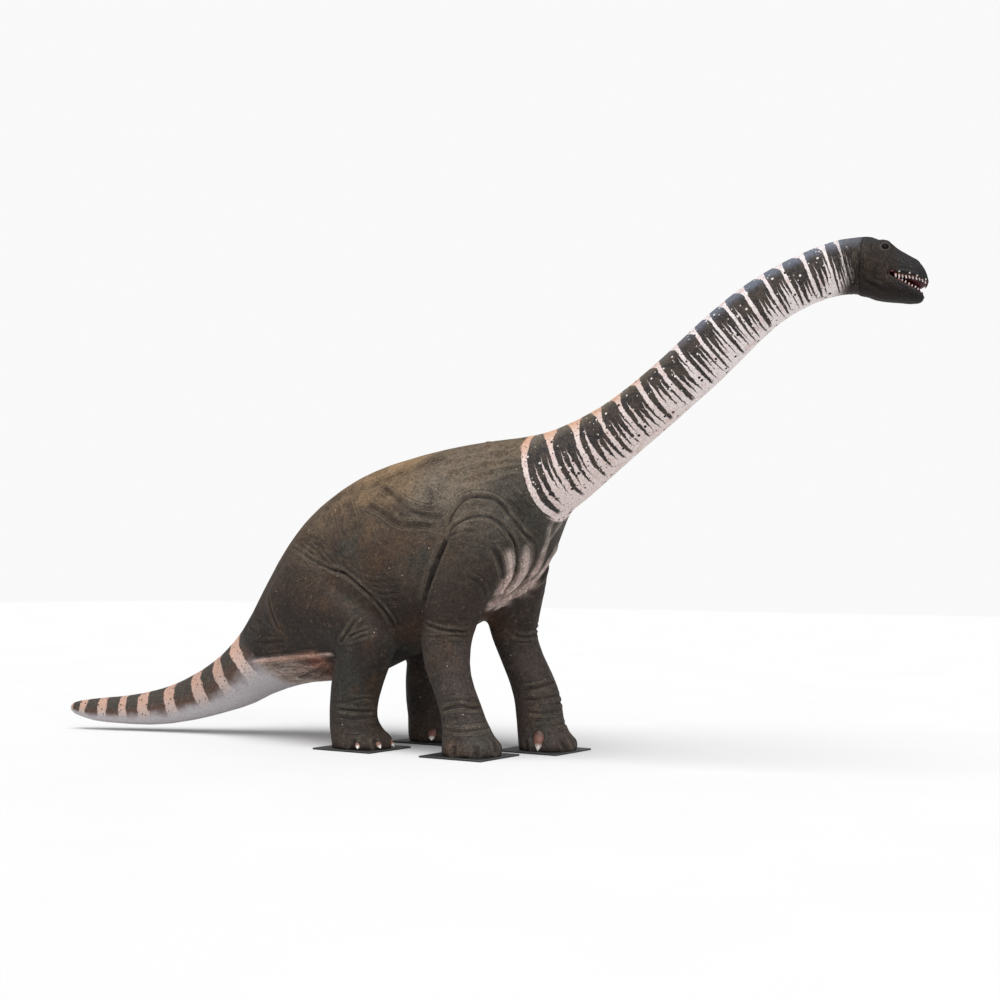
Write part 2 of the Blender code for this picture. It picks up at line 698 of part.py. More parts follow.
def tooth_row(line, width, rise, end):
    """Teeth at even spacing round the lip from one mouth corner to the other."""
    made = []
    edge = []
    places = np.linspace(MOUTH_CORNER + TOOTH_START, end, 60)
    for side in (-1, 1):
        walk = places if side < 0 else places[::-1]
        for forward in walk:
            edge.append((forward, side * max(along(width, forward) - TOOTH_INSET, 0.0)))
    travelled = 0.0
    for (f0, y0), (f1, y1) in zip(edge, edge[1:]):
        pace = math.hypot(f1 - f0, y1 - y0)
        pieces = max(1, int(pace / 0.002))
        for k in range(pieces):
            travelled += pace / pieces
            if travelled < TOOTH_SPACING:
                continue
            travelled = 0.0
            t = (k + 1) / pieces
            forward = f0 + (f1 - f0) * t
            sideways = y0 + (y1 - y0) * t
            root = head_point(forward, sideways, along(line, forward) - rise * TOOTH_SINK)
            beyond = head_point(forward + 0.3 * (forward - 0.2), sideways * 1.3, 0)
            outward = beyond - head_point(forward, sideways, 0)
            gape = along(SKULL_UNDER, forward) - along(JAW_TOP, forward)
            length = min(TOOTH_LENGTH, TOOTH_OF_GAPE * gape)
            made.append(tooth(root, rise, outward.normalized(), length))
    return made


def head_pieces():
    """Head, lower jaw and eyes: one form, hollowed at the mouth and parted by a thin cut."""
    skull = head_loft("skull", SKULL_TOP, SKULL_UNDER, SKULL_WIDTH, SKULL_WIDEST, EVEN, SKULL_SQUARE)
    jaw = head_loft("jaw", JAW_TOP, JAW_UNDER, JAW_WIDTH, JAW_WIDEST, JAW_SQUARE, EVEN)
    brows = [ellipsoid("brow", head_point(BROW[0], side * BROW[1], BROW[2]), BROW_RADII) for side in (-1, 1)]
    whole = fuse(join("head", [skull, jaw, *brows]), HEAD_VOXEL, HEAD_SMOOTHING, HEAD_TRIANGLES)
    for cutter in (mouth_hollow(), jaw_cut(), seam_block("behind", -1)):
        cut(whole, cutter)
        bpy.data.objects.remove(cutter, do_unlink=True)
    head, jaw = sorted(main_shells(whole, 2), key=lambda o: -np.mean([v.co.z for v in o.data.vertices]))
    eyes = []
    for name, side in (("eye_right", -1), ("eye_left", 1)):
        place = head_point(EYE_PLACE[0], side * EYE_PLACE[1], EYE_PLACE[2])
        eyes.append(ellipsoid(name, place, (EYE_RADIUS,) * 3, EYE_SEGMENTS, EYE_RINGS))
        socket = ellipsoid("socket", place, (EYE_RADIUS + GAP,) * 3, EYE_SEGMENTS, EYE_RINGS)
        cut(head, socket)
        bpy.data.objects.remove(socket, do_unlink=True)
    cut_all(head, tooth_row(SKULL_UNDER, SKULL_WIDTH, -1, 0.498), "UNION", "MANIFOLD")
    cut_all(jaw, tooth_row(JAW_TOP, JAW_WIDTH, 1, 0.462), "UNION", "MANIFOLD")
    return largest(head, "head"), largest(jaw, "lower_jaw"), eyes


# Parting into the named pieces
def slab(x, lean):
    """A thin upright cut across the spine."""
    turn = spine_heading(x)
    height = (along(BACK_LINE, x) + along(BELLY_LINE, x)) / 2
    return box("slab", (x, spine_side(x), height), (GAP, CUT_SIZE, CUT_SIZE), math.radians(lean), turn)


def seam_block(name, forward):
    """A block whose near face is the head seam, ahead of it or behind it."""
    size = 1.2
    shift = forward * (size / 2 - GAP / 2)
    centre = head_point(shift * math.cos(SEAM_TILT), 0.0, 3.9 - shift * math.sin(SEAM_TILT))
    return box(name, centre, (size, size, size), SEAM_TILT, HEAD_TURN)


def part_legs(body):
    made = {}
    for name in LEGS:
        region = fuse(join("region", leg_masses(name, SOCKET_MARGIN)), SOCKET_VOXEL, 2, SOCKET_TRIANGLES)
        leg = link(body.data.copy(), name)
        cut(leg, region, "INTERSECT")
        made[name] = largest(leg, name)
        wider = grow(region, "wider", GAP)
        cut(body, wider)
        bpy.data.objects.remove(region, do_unlink=True)
        bpy.data.objects.remove(wider, do_unlink=True)
    return made


def part_trunk(body):
    """The trunk's lengths by name, from tail tip to head seam."""
    cut_all(body, [slab(x, lean) for x, lean in TRUNK_CUTS.values()])
    names = ["tail_tip", "tail_middle", "tail_base", "torso", "neck_lower", "neck_middle", "neck_upper"]
    pieces = sorted(main_shells(body, len(names)), key=lambda o: np.mean([v.co.x for v in o.data.vertices]))
    made = {}
    for name, piece in zip(names, pieces):
        piece.name = name
        made[name] = piece
    return made


def base_plates():
    made = []
    sizes = (PLATE_SIDE, PLATE_SIDE, PLATE_THICKNESS)
    for name, (x, y) in PLATE_CENTRES.items():
        plate = box("stand_plate_" + name, (x, y, PLATE_THICKNESS / 2), sizes)
        bevel = plate.modifiers.new("Bevel", "BEVEL")
        bevel.width = PLATE_EDGE
        bevel.segments = 1
        made.append(bake(plate))
    return made


def move_to_bottom_centre(objects):
    """Shifts every mesh so that the origin is at the bottom centre of the model's box."""
    points = np.array([v.co for obj in objects for v in obj.data.vertices])
    low = points.min(0)
    high = points.max(0)
    shift = Vector((-(low[0] + high[0]) / 2, -(low[1] + high[1]) / 2, -low[2]))
    for obj in objects:
        for vert in obj.data.vertices:
            vert.co += shift


def build():
    clear_scene()
    materials = make_materials()
    body = whole_body()
    ahead = seam_block("ahead", 1)
    cut(body, ahead)
    bpy.data.objects.remove(ahead, do_unlink=True)
    head, jaw, eyes = head_pieces()
    legs = part_legs(body)
    claws = []
    for piece, leg in all_claws():
        room = grow(piece, "room", GAP)
        cut(legs[leg], room)
        bpy.data.objects.remove(room, do_unlink=True)
        claws.append(piece)
    legs = {name: largest(leg, name) for name, leg in legs.items()}
    trunk_pieces = part_trunk(body)
    flesh = [head, jaw, *legs.values(), *trunk_pieces.values()]
    plates = base_plates()
    for group, material in ((flesh, "skin"), (eyes, "eye"), (claws, "claw"), (plates, "plate")):
        for obj in group:
            obj.data.materials.clear()
            obj.data.materials.append(materials[material])
    move_to_bottom_centre([*flesh, *eyes, *claws, *plates])


build()
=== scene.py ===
"""Life-size painted statue of a long-necked dinosaur, standing on four flat steel base plates."""
import json
import math

import bpy
import numpy as np
from mathutils import Matrix, Vector
from mathutils.bvhtree import BVHTree
from mathutils.kdtree import KDTree


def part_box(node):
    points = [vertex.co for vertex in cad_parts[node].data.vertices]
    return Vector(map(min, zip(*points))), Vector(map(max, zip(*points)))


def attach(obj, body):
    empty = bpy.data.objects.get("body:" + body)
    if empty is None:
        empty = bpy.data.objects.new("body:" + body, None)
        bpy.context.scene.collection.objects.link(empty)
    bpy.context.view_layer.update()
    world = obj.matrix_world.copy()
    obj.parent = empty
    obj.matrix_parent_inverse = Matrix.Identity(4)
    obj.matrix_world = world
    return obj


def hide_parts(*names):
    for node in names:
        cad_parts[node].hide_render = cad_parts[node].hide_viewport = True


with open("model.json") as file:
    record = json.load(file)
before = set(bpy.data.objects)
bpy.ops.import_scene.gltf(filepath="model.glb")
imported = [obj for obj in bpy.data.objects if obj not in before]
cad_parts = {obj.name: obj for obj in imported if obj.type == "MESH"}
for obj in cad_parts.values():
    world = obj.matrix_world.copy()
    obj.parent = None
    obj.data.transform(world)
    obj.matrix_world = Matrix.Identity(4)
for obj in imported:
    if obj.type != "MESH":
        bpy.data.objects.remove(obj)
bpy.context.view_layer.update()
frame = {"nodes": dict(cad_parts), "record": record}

# The body's own frame, as the solids were drawn: origin on the floor midway between the forefeet
FORE_PLATE = (-0.13, -0.38)
PLATE_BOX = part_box("stand_plate_fore_right")
SHIFT = np.array([(PLATE_BOX[0].x + PLATE_BOX[1].x) / 2 - FORE_PLATE[0],
                  (PLATE_BOX[0].y + PLATE_BOX[1].y) / 2 - FORE_PLATE[1], 0.0])

# Camera, in the body's frame
CAMERA_PLACE = (7.10, -11.51, 1.464)
CAMERA_TURN = math.radians(32.0)
CAMERA_LIFT = math.radians(2.83)
CAMERA_ROLL = math.radians(0.5)
PICTURE = 1000
FOCAL_PIXELS = 1600.0
SENSOR = 36.0

# Spine in plan: straight over the body, the neck bending left and the tail right
NECK_START = 0.35
NECK_TURN = math.tan(math.radians(17))
NECK_BEND = 2.4
TAIL_START = -2.0
TAIL_TURN = math.tan(math.radians(24))
TAIL_BEND = 2.2
# Height of the middle of the trunk over its place along X
MIDDLE_LINE = (
    (-4.54, 0.213), (-4.31, 0.190), (-4.06, 0.190), (-3.79, 0.214), (-3.52, 0.272), (-3.25, 0.367),
    (-3.0, 0.492), (-2.80, 0.625), (-2.62, 0.785), (-2.40, 0.995), (-2.16, 1.19), (-1.92, 1.32),
    (-1.47, 1.49), (-1.03, 1.64), (-0.61, 1.77), (-0.20, 1.91), (0.20, 2.08), (0.45, 2.30), (0.70, 2.455),
    (0.94, 2.61), (1.13, 2.745), (1.34, 2.91), (1.51, 3.05), (1.68, 3.20), (1.87, 3.36), (2.07, 3.53),
    (2.30, 3.705), (2.53, 3.825), (2.75, 3.905), (3.05, 3.925),
)

# Skin: what it stands for, and where the moulded lengths are cut: place along X and lean
NECK_NODES = ("neck_upper", "neck_middle", "neck_lower")
FORE_NODES = ("torso", "foreleg_right", "foreleg_left")
HIND_NODES = ("torso", "hindleg_right", "hindleg_left")
TAIL_NODES = ("tail_base", "tail_middle", "tail_tip")
HEAD_NODES = ("head", "lower_jaw")
BODY_NODES = (*NECK_NODES, "torso", *TAIL_NODES, *FORE_NODES[1:], *HIND_NODES[1:], *HEAD_NODES)
NECK_CUT = (0.62, -38)
TRUNK_CUT = (-0.82, 0)
TAIL_CUT = (-2.48, -38)
BODY_VOXEL = 0.018
BODY_CREASE_ANGLE = math.radians(72)
# Corners of the solids nearer to each other than this are made one
MERGE = 0.00001
# Folds: how near one the skin is finer, how gently it begins, and the deepest and highest that they add up to
FINE_REACH = 0.046
FOLD_TAPER = 0.07
FOLD_LIMITS = (-0.055, 0.02)
# Finer pleats run beside a fold this far out, a ridge higher than this is pale, and past this nothing is left
PLEAT_REACH = 0.075
BLUSH_FROM = -0.0095
FOLD_REACH = 0.12
# What the folds leave on each point: its height, marks for the paint, among them painted shade along and
# around the folds, and how far the nearest fold is
FOLD_FIELDS = ("height", "crease", "ridge", "blush", "dusk", "pleat", "beside")
# The skin below this line, laid in the picture beside the tail's root, is red brown and pale
ROOT_EDGE = ((246, 663), (262, 659), (280, 656), (300, 651), (318, 650), (335, 650))
# A laid line is broken where it jumps this far, and a mirrored one is dropped where the skin is this far off
LINE_JUMP = 0.05
MIRROR_REACH = 0.10
# Soles lie flat on the plates
SOLE = 0.0163
SOLE_FLAT = 0.024

# Head, in its own plane: places forward of the seam, sideways, and heights
HEAD_VOXEL = 0.0045
SEAM_X = 2.93
HEAD_TURN = math.radians(17)
HEAD_ROLL = math.radians(8)
HEAD_MIDDLE = 3.88
# Mouth: place forward, height of the upper and the lower lip, half width at the upper and the lower lip
MOUTH = (
    (0.200, 3.800, 3.806, 0.168, 0.166), (0.232, 3.808, 3.800, 0.163, 0.164),
    (0.250, 3.811, 3.792, 0.160, 0.158), (0.300, 3.814, 3.757, 0.148, 0.144),
    (0.360, 3.808, 3.722, 0.134, 0.126), (0.410, 3.793, 3.697, 0.120, 0.105),
    (0.445, 3.778, 3.680, 0.105, 0.080), (0.468, 3.766, 3.660, 0.089, 0.048),
    (0.480, 3.760, 3.643, 0.080, 0.012), (0.500, 3.754, 3.640, 0.050, 0.004),
    (0.510, 3.756, 3.640, 0.020, 0.004),
)
MOUTH_CORNER = 0.235
# The solid's coarse teeth are smoothed away this far past the lips
TEETH_MELT = 0.012
LIP = 0.024
# How far the upper lip hangs below the solid's, by place forward, and how high above it the skin follows
LIP_DROP = ((0.225, 0.0), (0.27, 0.020), (0.33, 0.024), (0.39, 0.017), (0.43, 0.008), (0.465, 0.0))
LIP_FOLLOWS = (0.015, 0.10)
# Roof and floor of the mouth: place forward, height of the middle from the lip, and half thickness
MOUTH_ROOF = ((0.225, 0.012, 0.006), (0.30, 0.012, 0.034), (0.36, 0.008, 0.052), (0.43, 0.0, 0.058),
              (0.490, 0.0, 0.044))
MOUTH_FLOOR = ((0.225, -0.010, 0.006), (0.28, -0.010, 0.026), (0.38, -0.008, 0.030), (0.44, -0.003, 0.022),
               (0.480, 0.0, 0.016))
ROOF_INSET = 0.030
FLOOR_INSET = 0.020
GUM_ENDS = (0.466, 0.496)
UPPER_TEETH_END = 0.482
LOWER_TEETH_END = 0.430
TEETH_START = 0.266
TOOTH_SPACING = 0.0255
TOOTH_RADIUS = 0.0085
TOOTH_LENGTH = 0.030
TOOTH_SINK = 0.004
TOOTH_LEAN = 0.14
UPPER_TOOTH_SIZE = 1.04
LOWER_TOOTH_SIZE = 0.80
# Nostril: place forward, sideways and up, then its pit and its rim's radius, width and height
NOSTRIL = (0.425, 0.052, 3.925)
NOSTRIL_WIDTH = 0.013
NOSTRIL_DEPTH = 0.012
NOSTRIL_RIM = (0.022, 0.008, 0.004)
EYE_RADIUS = 0.028
LID_REACH = 0.038
LID_WIDTH = 0.009
LID_HEIGHT = 0.006
# Seam behind the head: the neck and head lie past HEAD_END along X
HEAD_END = 2.0
SEAM_TILT = math.radians(4)
SEAM_MIDDLE = 3.9
SEAM_WIDTH = 0.0075
SEAM_DEPTH = 0.006
SEAM_BLEND = 0.12
# The step at the seam is smoothed from this far off, and fully from this near
SEAM_SOFTENING = (0.075, 0.030)
# Pale specks along the upper lip, in the picture
LIP_SPECKS = ((892.3, 271.2), (899.3, 271.2), (909.7, 272.9), (917, 275.6), (925.8, 279.3))
SPECK_SIZE = (0.0085, 0.0055)
SPECK_HEIGHT = 0.002

# Claws and plates
CLAW_GROWTH = 1.25
HIND_CLAW_OUT = 0.012
PLATE_EDGE = 0.0025
PLATE_CREASE_ANGLE = math.radians(40)

# Stage: each lamp's direction, strength and softness
FLOOR_SIZE = 120.0
SKY_LIGHT = 0.47
BACKDROP = 0.95
OVERHEAD = ((0.18, -0.40, 1.0), 3.4, math.radians(50))
FRONT_FILL = ((1.0, -0.45, 0.30), 0.7, math.radians(40))
LAMP_HEIGHT = 8
VIEW_LIMIT = 200.0

# Light stripes of the neck: place along X at the stripe's middle, height there, and lean in degrees
NECK_STRIPES = (
    (0.405, 2.27, -19), (0.62, 2.39, -21), (0.82, 2.50, -21), (1.01, 2.68, -33), (1.17, 2.79, -34),
    (1.35, 2.90, -35), (1.52, 3.04, -38), (1.65, 3.20, -39), (1.79, 3.32, -37), (1.905, 3.43, -38),
    (2.03, 3.50, -35), (2.16, 3.60, -30), (2.31, 3.69, -29), (2.434, 3.75, -25), (2.578, 3.82, -21),
    (2.721, 3.87, -15), (2.807, 3.93, -14),
)
# Light wedges in each dark band of the neck: seed, place across the band, top on the way round, and spread
NECK_WEDGES = ((3.1, 0.33, 0.34, 0.24), (7.7, 0.57, 0.46, 0.36), (5.3, 0.79, 0.42, 0.26))
# Light bands of the tail, from the root to the tip
TAIL_BANDS = (-2.93, -3.18, -3.51, -3.80, -4.00, -4.20, -4.39, -4.51, -4.56)

# Folds of the right side, followed in the picture: depth and width in metres, then points. A depth
# below zero is a ridge. A "held" fold stays deep at its last point, where it runs into another.
SHOULDER_FOLDS = (
    (0.012, 0.013, ((448, 531), (451, 518), (456, 509), (462, 502), (469, 498), (478, 497), (487, 498),
                    (496, 501), (504, 508), (510, 516), (517, 524), (524, 533), (530, 538), (537, 545))),
    (0.006, 0.010, ((449, 531), (453, 521), (460, 513), (468, 508), (478, 505), (487, 506), (495, 510),
                    (501, 515), (507, 521))),
    (0.004, 0.009, ((452, 524), (458, 517), (467, 512), (478, 510), (488, 511), (497, 516))),
    (0.011, 0.013, ((448, 536), (452, 528), (460, 522), (468, 518), (478, 516), (489, 517), (498, 522),
                    (506, 529), (512, 537), (516, 546), (517, 556), (517, 566), (515, 576), (511, 584),
                    (507, 590), (498, 598), (488, 604))),
    (0.007, 0.011, ((447, 539), (452, 535), (460, 532), (468, 531), (477, 532))),
    (0.005, 0.009, ((447, 544), (453, 540), (461, 538), (470, 539))),
    (0.004, 0.009, ((451, 514), (457, 505), (464, 499), (472, 494))),
    (0.016, 0.018, ((491, 546), (498, 555), (501, 563), (503, 572), (502, 580), (499, 588), (492, 594))),
    (0.008, 0.012, ((465, 576), (473, 579), (480, 583), (484, 590), (486, 598))),
    (0.007, 0.011, ((527, 529), (532, 534), (538, 540))),
    (0.006, 0.011, ((504, 497), (512, 505), (519, 513), (527, 519))),
    (0.005, 0.010, ((509, 489), (518, 498), (527, 507), (536, 514))),
)
CHEST_FOLDS = (
    (0.014, 0.012, ((506, 531), (512, 538), (516, 548), (517, 562), (514, 577), (508, 588), (500, 596))),
    (0.015, 0.012, ((536, 545), (536, 558), (530, 571), (523, 583), (514, 590), (505, 596), (496, 601),
                    (486, 606))),
    (0.011, 0.010, ((546, 550), (542, 561), (536, 571), (528, 580), (518, 589), (505, 598), (490, 606))),
)
CHEST_RIDGES = (
    (-0.010, 0.022, ((507, 546), (510, 556), (511, 568), (508, 581), (502, 590), (493, 598))),
    (-0.014, 0.025, ((525, 542), (526, 551), (526, 562), (523, 574), (515, 586), (504, 595), (495, 602),
                     (483, 609))),
    (-0.012, 0.014, ((563, 518), (560, 525), (555, 532), (546, 546), (538, 565), (531, 577), (523, 586),
                     (514, 593), (505, 599), (491, 606), (478, 612))),
    (-0.012, 0.022, ((550, 554), (546, 564), (539, 577), (529, 587), (518, 594), (505, 600), (491, 608),
                     (476, 615))),
)
BACK_RIDGES = (
    (-0.015, 0.020, ((436, 464), (455, 459), (475, 455), (495, 452), (514, 450))),
    (-0.015, 0.020, ((445, 473), (468, 466), (490, 461), (517, 458))),
    (-0.014, 0.019, ((458, 481), (480, 473), (502, 467), (519, 465))),
    (-0.010, 0.017, ((423, 450), (445, 447), (468, 444), (492, 442))),
    (-0.011, 0.017, ((475, 486), (494, 479), (510, 474), (521, 473))),
)
FLANK_FOLDS = (
    (0.008, 0.036, ((330, 501), (347, 493), (366, 487), (379, 483), (397, 476), (415, 468), (433, 462),
                    (446, 460))),
    (0.011, 0.018, ((380, 486), (387, 491), (398, 500), (409, 510), (419, 514), (433, 517), (446, 516))),
    (0.010, 0.018, ((366, 504), (375, 509), (385, 515), (396, 523), (409, 526), (424, 526), (435, 527))),
    (0.004, 0.010, ((393, 493), (403, 502), (413, 507), (427, 510), (440, 509))),
    (0.004, 0.010, ((383, 502), (394, 510), (405, 517), (420, 519), (434, 521))),
    (0.004, 0.011, ((425, 487), (435, 496), (450, 506))),
    (0.022, 0.024, ((424, 606), (430, 583), (435, 568), (442, 551), (448, 536))),
)
GROIN_FOLDS = (
    (0.009, 0.011, "held", ((283, 540), (295, 548), (311, 559), (324, 566), (336, 571))),
    (0.005, 0.009, "held", ((299, 543), (312, 554), (325, 563), (337, 570))),
    (0.007, 0.009, "held", ((304, 541), (318, 552), (328, 562), (338, 570))),
    (0.005, 0.009, "held", ((311, 540), (323, 551), (332, 561), (339, 570))),
    (0.006, 0.009, "held", ((320, 545), (328, 557), (339, 569))),
    (0.005, 0.009, "held", ((329, 546), (335, 556), (341, 568))),
    (0.005, 0.009, "held", ((338, 545), (341, 556), (345, 568))),
    (0.016, 0.013, ((324, 567), (336, 571), (344, 573), (353, 580), (361, 587), (371, 596), (381, 607),
                    (388, 616), (395, 627))),
    (0.006, 0.010, ((338, 554), (345, 558), (357, 560))),
    (0.007, 0.011, ((342, 565), (357, 576), (371, 581), (385, 582), (399, 580))),
    (0.005, 0.010, ((346, 568), (361, 582), (375, 586), (390, 588), (402, 586))),
    (0.007, 0.011, ((357, 577), (371, 590), (383, 594), (399, 592))),
    (0.007, 0.011, ((367, 593), (383, 599), (401, 600))),
    (0.006, 0.009, "held", ((296, 573), (309, 575), (325, 571))),
    (0.006, 0.009, "held", ((300, 587), (308, 584), (318, 577), (327, 572))),
    (0.006, 0.009, "held", ((305, 594), (312, 586), (324, 577))),
    (0.005, 0.009, "held", ((313, 597), (319, 588), (327, 578))),
)
RUMP_FOLDS = (
    (0.010, 0.014, ((268, 590), (269, 603), (272, 614), (276, 624), (280, 630))),
    (0.007, 0.011, ((258, 620), (265, 626), (275, 633))),
    (0.006, 0.010, ((256, 617), (260, 624), (266, 631))),
    (0.005, 0.010, ((263, 600), (264, 611), (268, 621))),
    (0.008, 0.013, ((252, 641), (262, 643), (275, 641), (288, 641))),
    (0.006, 0.010, ((248, 625), (255, 632), (262, 639))),
    (0.007, 0.010, ((262, 655), (285, 652), (305, 652), (320, 651), (336, 651))),
    (0.010, 0.012, ((296, 679), (307, 675), (322, 668), (331, 661))),
    (0.008, 0.011, ((314, 680), (324, 675), (332, 670))),
    (0.006, 0.010, ((262, 668), (280, 666), (300, 664), (318, 661))),
)
RUMP_RIDGES = (
    (-0.006, 0.010, ((268, 646), (282, 647), (296, 648), (314, 649), (335, 649))),
    (-0.010, 0.011, ((246, 665), (255, 662), (268, 660), (282, 659), (301, 657), (320, 655), (335, 654))),
)
KNEE_FOLDS = (
    (0.011, 0.012, "held", ((361, 615), (354, 622), (348, 631), (341, 641))),
    (0.009, 0.010, "held", ((374, 628), (359, 632), (341, 641))),
    (0.007, 0.010, "held", ((371, 634), (357, 638), (341, 642))),
    (0.006, 0.009, "held", ((366, 622), (354, 628), (342, 640))),
    (0.007, 0.010, ((341, 643), (348, 646), (356, 646))),
    (0.006, 0.010, ((386, 621), (391, 624), (395, 630))),
)
ANKLE_FOLDS = (
    (0.007, 0.009, ((341, 702), (350, 701), (358, 699), (366, 698), (377, 699))),
    (0.006, 0.008, ((352, 706), (362, 705), (378, 704))),
    (0.010, 0.011, ((335, 708), (348, 710), (362, 711), (378, 711))),
    (0.006, 0.009, ((334, 716), (350, 719), (366, 718), (380, 716))),
    (0.005, 0.009, ((338, 727), (352, 729), (366, 728), (382, 725))),
)
FORELEG_FOLDS = (
    (0.014, 0.012, ((421, 622), (439, 629), (453, 631), (470, 632))),
    (0.008, 0.009, ((444, 635), (458, 636), (470, 636))),
    (0.007, 0.009, ((424, 636), (434, 637), (445, 637))),
    (0.005, 0.009, ((422, 616), (437, 622), (452, 625), (468, 626))),
    (0.006, 0.012, ((434, 660), (435, 675), (441, 690))),
    (0.013, 0.012, ((437, 712), (450, 708), (461, 706), (472, 708), (482, 707))),
    (0.006, 0.009, ((445, 702), (458, 700), (470, 701), (479, 700))),
    (0.009, 0.011, ((441, 727), (454, 731), (467, 731), (480, 729), (491, 727))),
    (0.005, 0.009, ((444, 739), (456, 740), (468, 739))),
    (0.004, 0.009, ((443, 719), (456, 721), (470, 720))),
)
FAR_LEG_FOLDS = (
    (0.013, 0.012, ((510, 632), (520, 636), (530, 636), (539, 634))),
    (0.008, 0.010, ((512, 640), (522, 642), (534, 641))),
    (0.013, 0.012, ((520, 690), (532, 688), (545, 685), (556, 681))),
    (0.009, 0.011, ((523, 699), (536, 699), (549, 697), (560, 694))),
    (0.008, 0.011, ((526, 712), (541, 713), (556, 711), (566, 708))),
    (0.007, 0.010, ((530, 727), (545, 727), (562, 724), (571, 721))),
    (0.005, 0.009, ((512, 625), (522, 628), (534, 625))),
)
TOE_FOLDS = (
    (0.012, 0.018, "held", ((455, 744), (454, 748), (454, 754))),
    (0.012, 0.018, "held", ((476, 744), (476, 749), (476, 755))),
    (0.011, 0.017, "held", ((493, 739), (495, 744), (496, 751))),
    (0.011, 0.017, "held", ((354, 738), (354, 743), (353, 749))),
    (0.011, 0.017, "held", ((374, 737), (375, 742), (377, 748))),
    (0.011, 0.017, "held", ((525, 738), (526, 744), (527, 750))),
    (0.011, 0.017, "held", ((560, 738), (563, 743), (566, 749))),
)
HIP_FOLDS = (
    (0.004, 0.010, ((336, 503), (340, 514), (342, 526), (341, 537))),
    (0.004, 0.010, ((347, 500), (351, 511), (354, 523), (353, 533))),
    (0.004, 0.010, ((300, 528), (309, 536), (321, 541))),
    (0.004, 0.010, ((289, 532), (298, 540), (309, 545))),
    (0.004, 0.010, ((281, 560), (287, 570), (297, 578))),
    (0.004, 0.010, ((325, 507), (329, 518), (331, 530))),
)
NAPE_FOLDS = (
    (0.006, 0.007, ((851, 246), (852.5, 256), (853.5, 270), (853.5, 284), (852, 292))),
    (0.004, 0.006, ((855, 246), (856, 258), (856.5, 270), (856, 286))),
    (0.004, 0.006, ((847.5, 250), (849.5, 262), (850.5, 276), (850, 290))),
    (0.003, 0.006, ((843, 248), (846.5, 262), (848, 278))),
)
CHEEK_FOLDS = (
    (0.008, 0.012, ((862, 275), (864, 279), (868, 282), (875.5, 285.5), (881.5, 289), (888, 291.5))),
    (0.004, 0.006, ((861.5, 248), (862, 258), (862.5, 268), (863, 276))),
    (0.005, 0.008, ((876, 242), (872, 245), (871, 249), (874, 253), (880, 256))),
    (-0.004, 0.008, ((893, 252), (902, 257), (911, 263), (918, 270))),
    (0.004, 0.006, ((889, 257), (894, 261), (901, 264))),
    (-0.006, 0.008, ((891, 270), (900, 270), (911, 272), (920, 276), (926, 280.5))),
    (-0.005, 0.008, ((893, 278.5), (901, 283), (909, 288), (915, 292))),
    (0.005, 0.006, ((890, 269), (887.5, 272.5), (889, 276))),
    (0.004, 0.006, ((868, 291), (877, 296), (888, 298.5), (900, 300))),
)
# How each group of folds is repeated on the animal's left
BODY_FOLDS = (
    (SHOULDER_FOLDS, "with the leg"), (CHEST_FOLDS, "in place"), (CHEST_RIDGES, "in place"),
    (BACK_RIDGES, "in place"), (FLANK_FOLDS, "with the leg"), (GROIN_FOLDS, "with the leg"),
    (RUMP_FOLDS, "in place"), (RUMP_RIDGES, "in place"), (KNEE_FOLDS, "with the leg"),
    (ANKLE_FOLDS, "with the leg"), (FORELEG_FOLDS, "with the leg"), (FAR_LEG_FOLDS, None),
    (TOE_FOLDS, "with the leg"), (HIP_FOLDS, "in place"), (NAPE_FOLDS, "in the head"),
)
HEAD_FOLDS = ((CHEEK_FOLDS, "in the head"),)
# The left legs stand further forward at the foot: how far, by height. The foreleg's folds lie ahead of
# LEGS_PART, and the hind leg's behind it.
LEGS_PART = -0.70
FORE_LEAD = ((0.0, 0.28), (0.43, 0.30), (0.79, 0.25), (1.19, 0.09), (1.65, -0.11), (2.1, -0.17))
HIND_LEAD = ((0.0, 0.17), (0.28, 0.18), (0.60, 0.13), (0.93, 0.09), (1.2, 0.0))


def deselect():
    bpy.ops.object.select_all(action="DESELECT")


def pick(*objects):
    """Makes these the selected objects, the last of them active."""
    deselect()
    for obj in objects:
        obj.select_set(True)
    bpy.context.view_layer.objects.active = objects[-1]


def apply(obj, kind, **settings):
    """Adds a modifier of this kind, sets it up and applies it."""
    pick(obj)
    modifier = obj.modifiers.new(kind, kind)
    for name, value in settings.items():
        setattr(modifier, name, value)
    bpy.ops.object.modifier_apply(modifier=modifier.name)


def added(name, primitive, **settings):
    """A new primitive under this name, with its place and size in its mesh."""
    deselect()
    primitive(**settings)
    piece = bpy.context.active_object
    piece.name = name
    bpy.ops.object.transform_apply(location=True, rotation=True, scale=True)
    return piece


def edit_whole(piece, operator, **settings):
    """Runs one operator of edit mode on the whole piece."""
    pick(piece)
    bpy.ops.object.mode_set(mode="EDIT")
    bpy.ops.mesh.select_all(action="SELECT")
    operator(**settings)
    bpy.ops.object.mode_set(mode="OBJECT")


def copied(name, source):
    """A new object with its own copy of a mesh."""
    piece = bpy.data.objects.new(name, source.data.copy())
    piece.data.name = name
    bpy.context.scene.collection.objects.link(piece)
    return piece


def joined(name, pieces):
    """The pieces made one."""
    pick(*pieces)
    if len(pieces) > 1:
        bpy.ops.object.join()
    piece = bpy.context.view_layer.objects.active
    piece.name = name
    piece.data.name = name
    return piece


def copies(name, *nodes):
    """One piece made of merged copies of CAD nodes."""
    made = [copied(name, frame["nodes"][node]) for node in nodes]
    for obj in made:
        obj.data.materials.clear()
    piece = joined(name, made)
    edit_whole(piece, bpy.ops.mesh.remove_doubles, threshold=MERGE)
    return piece


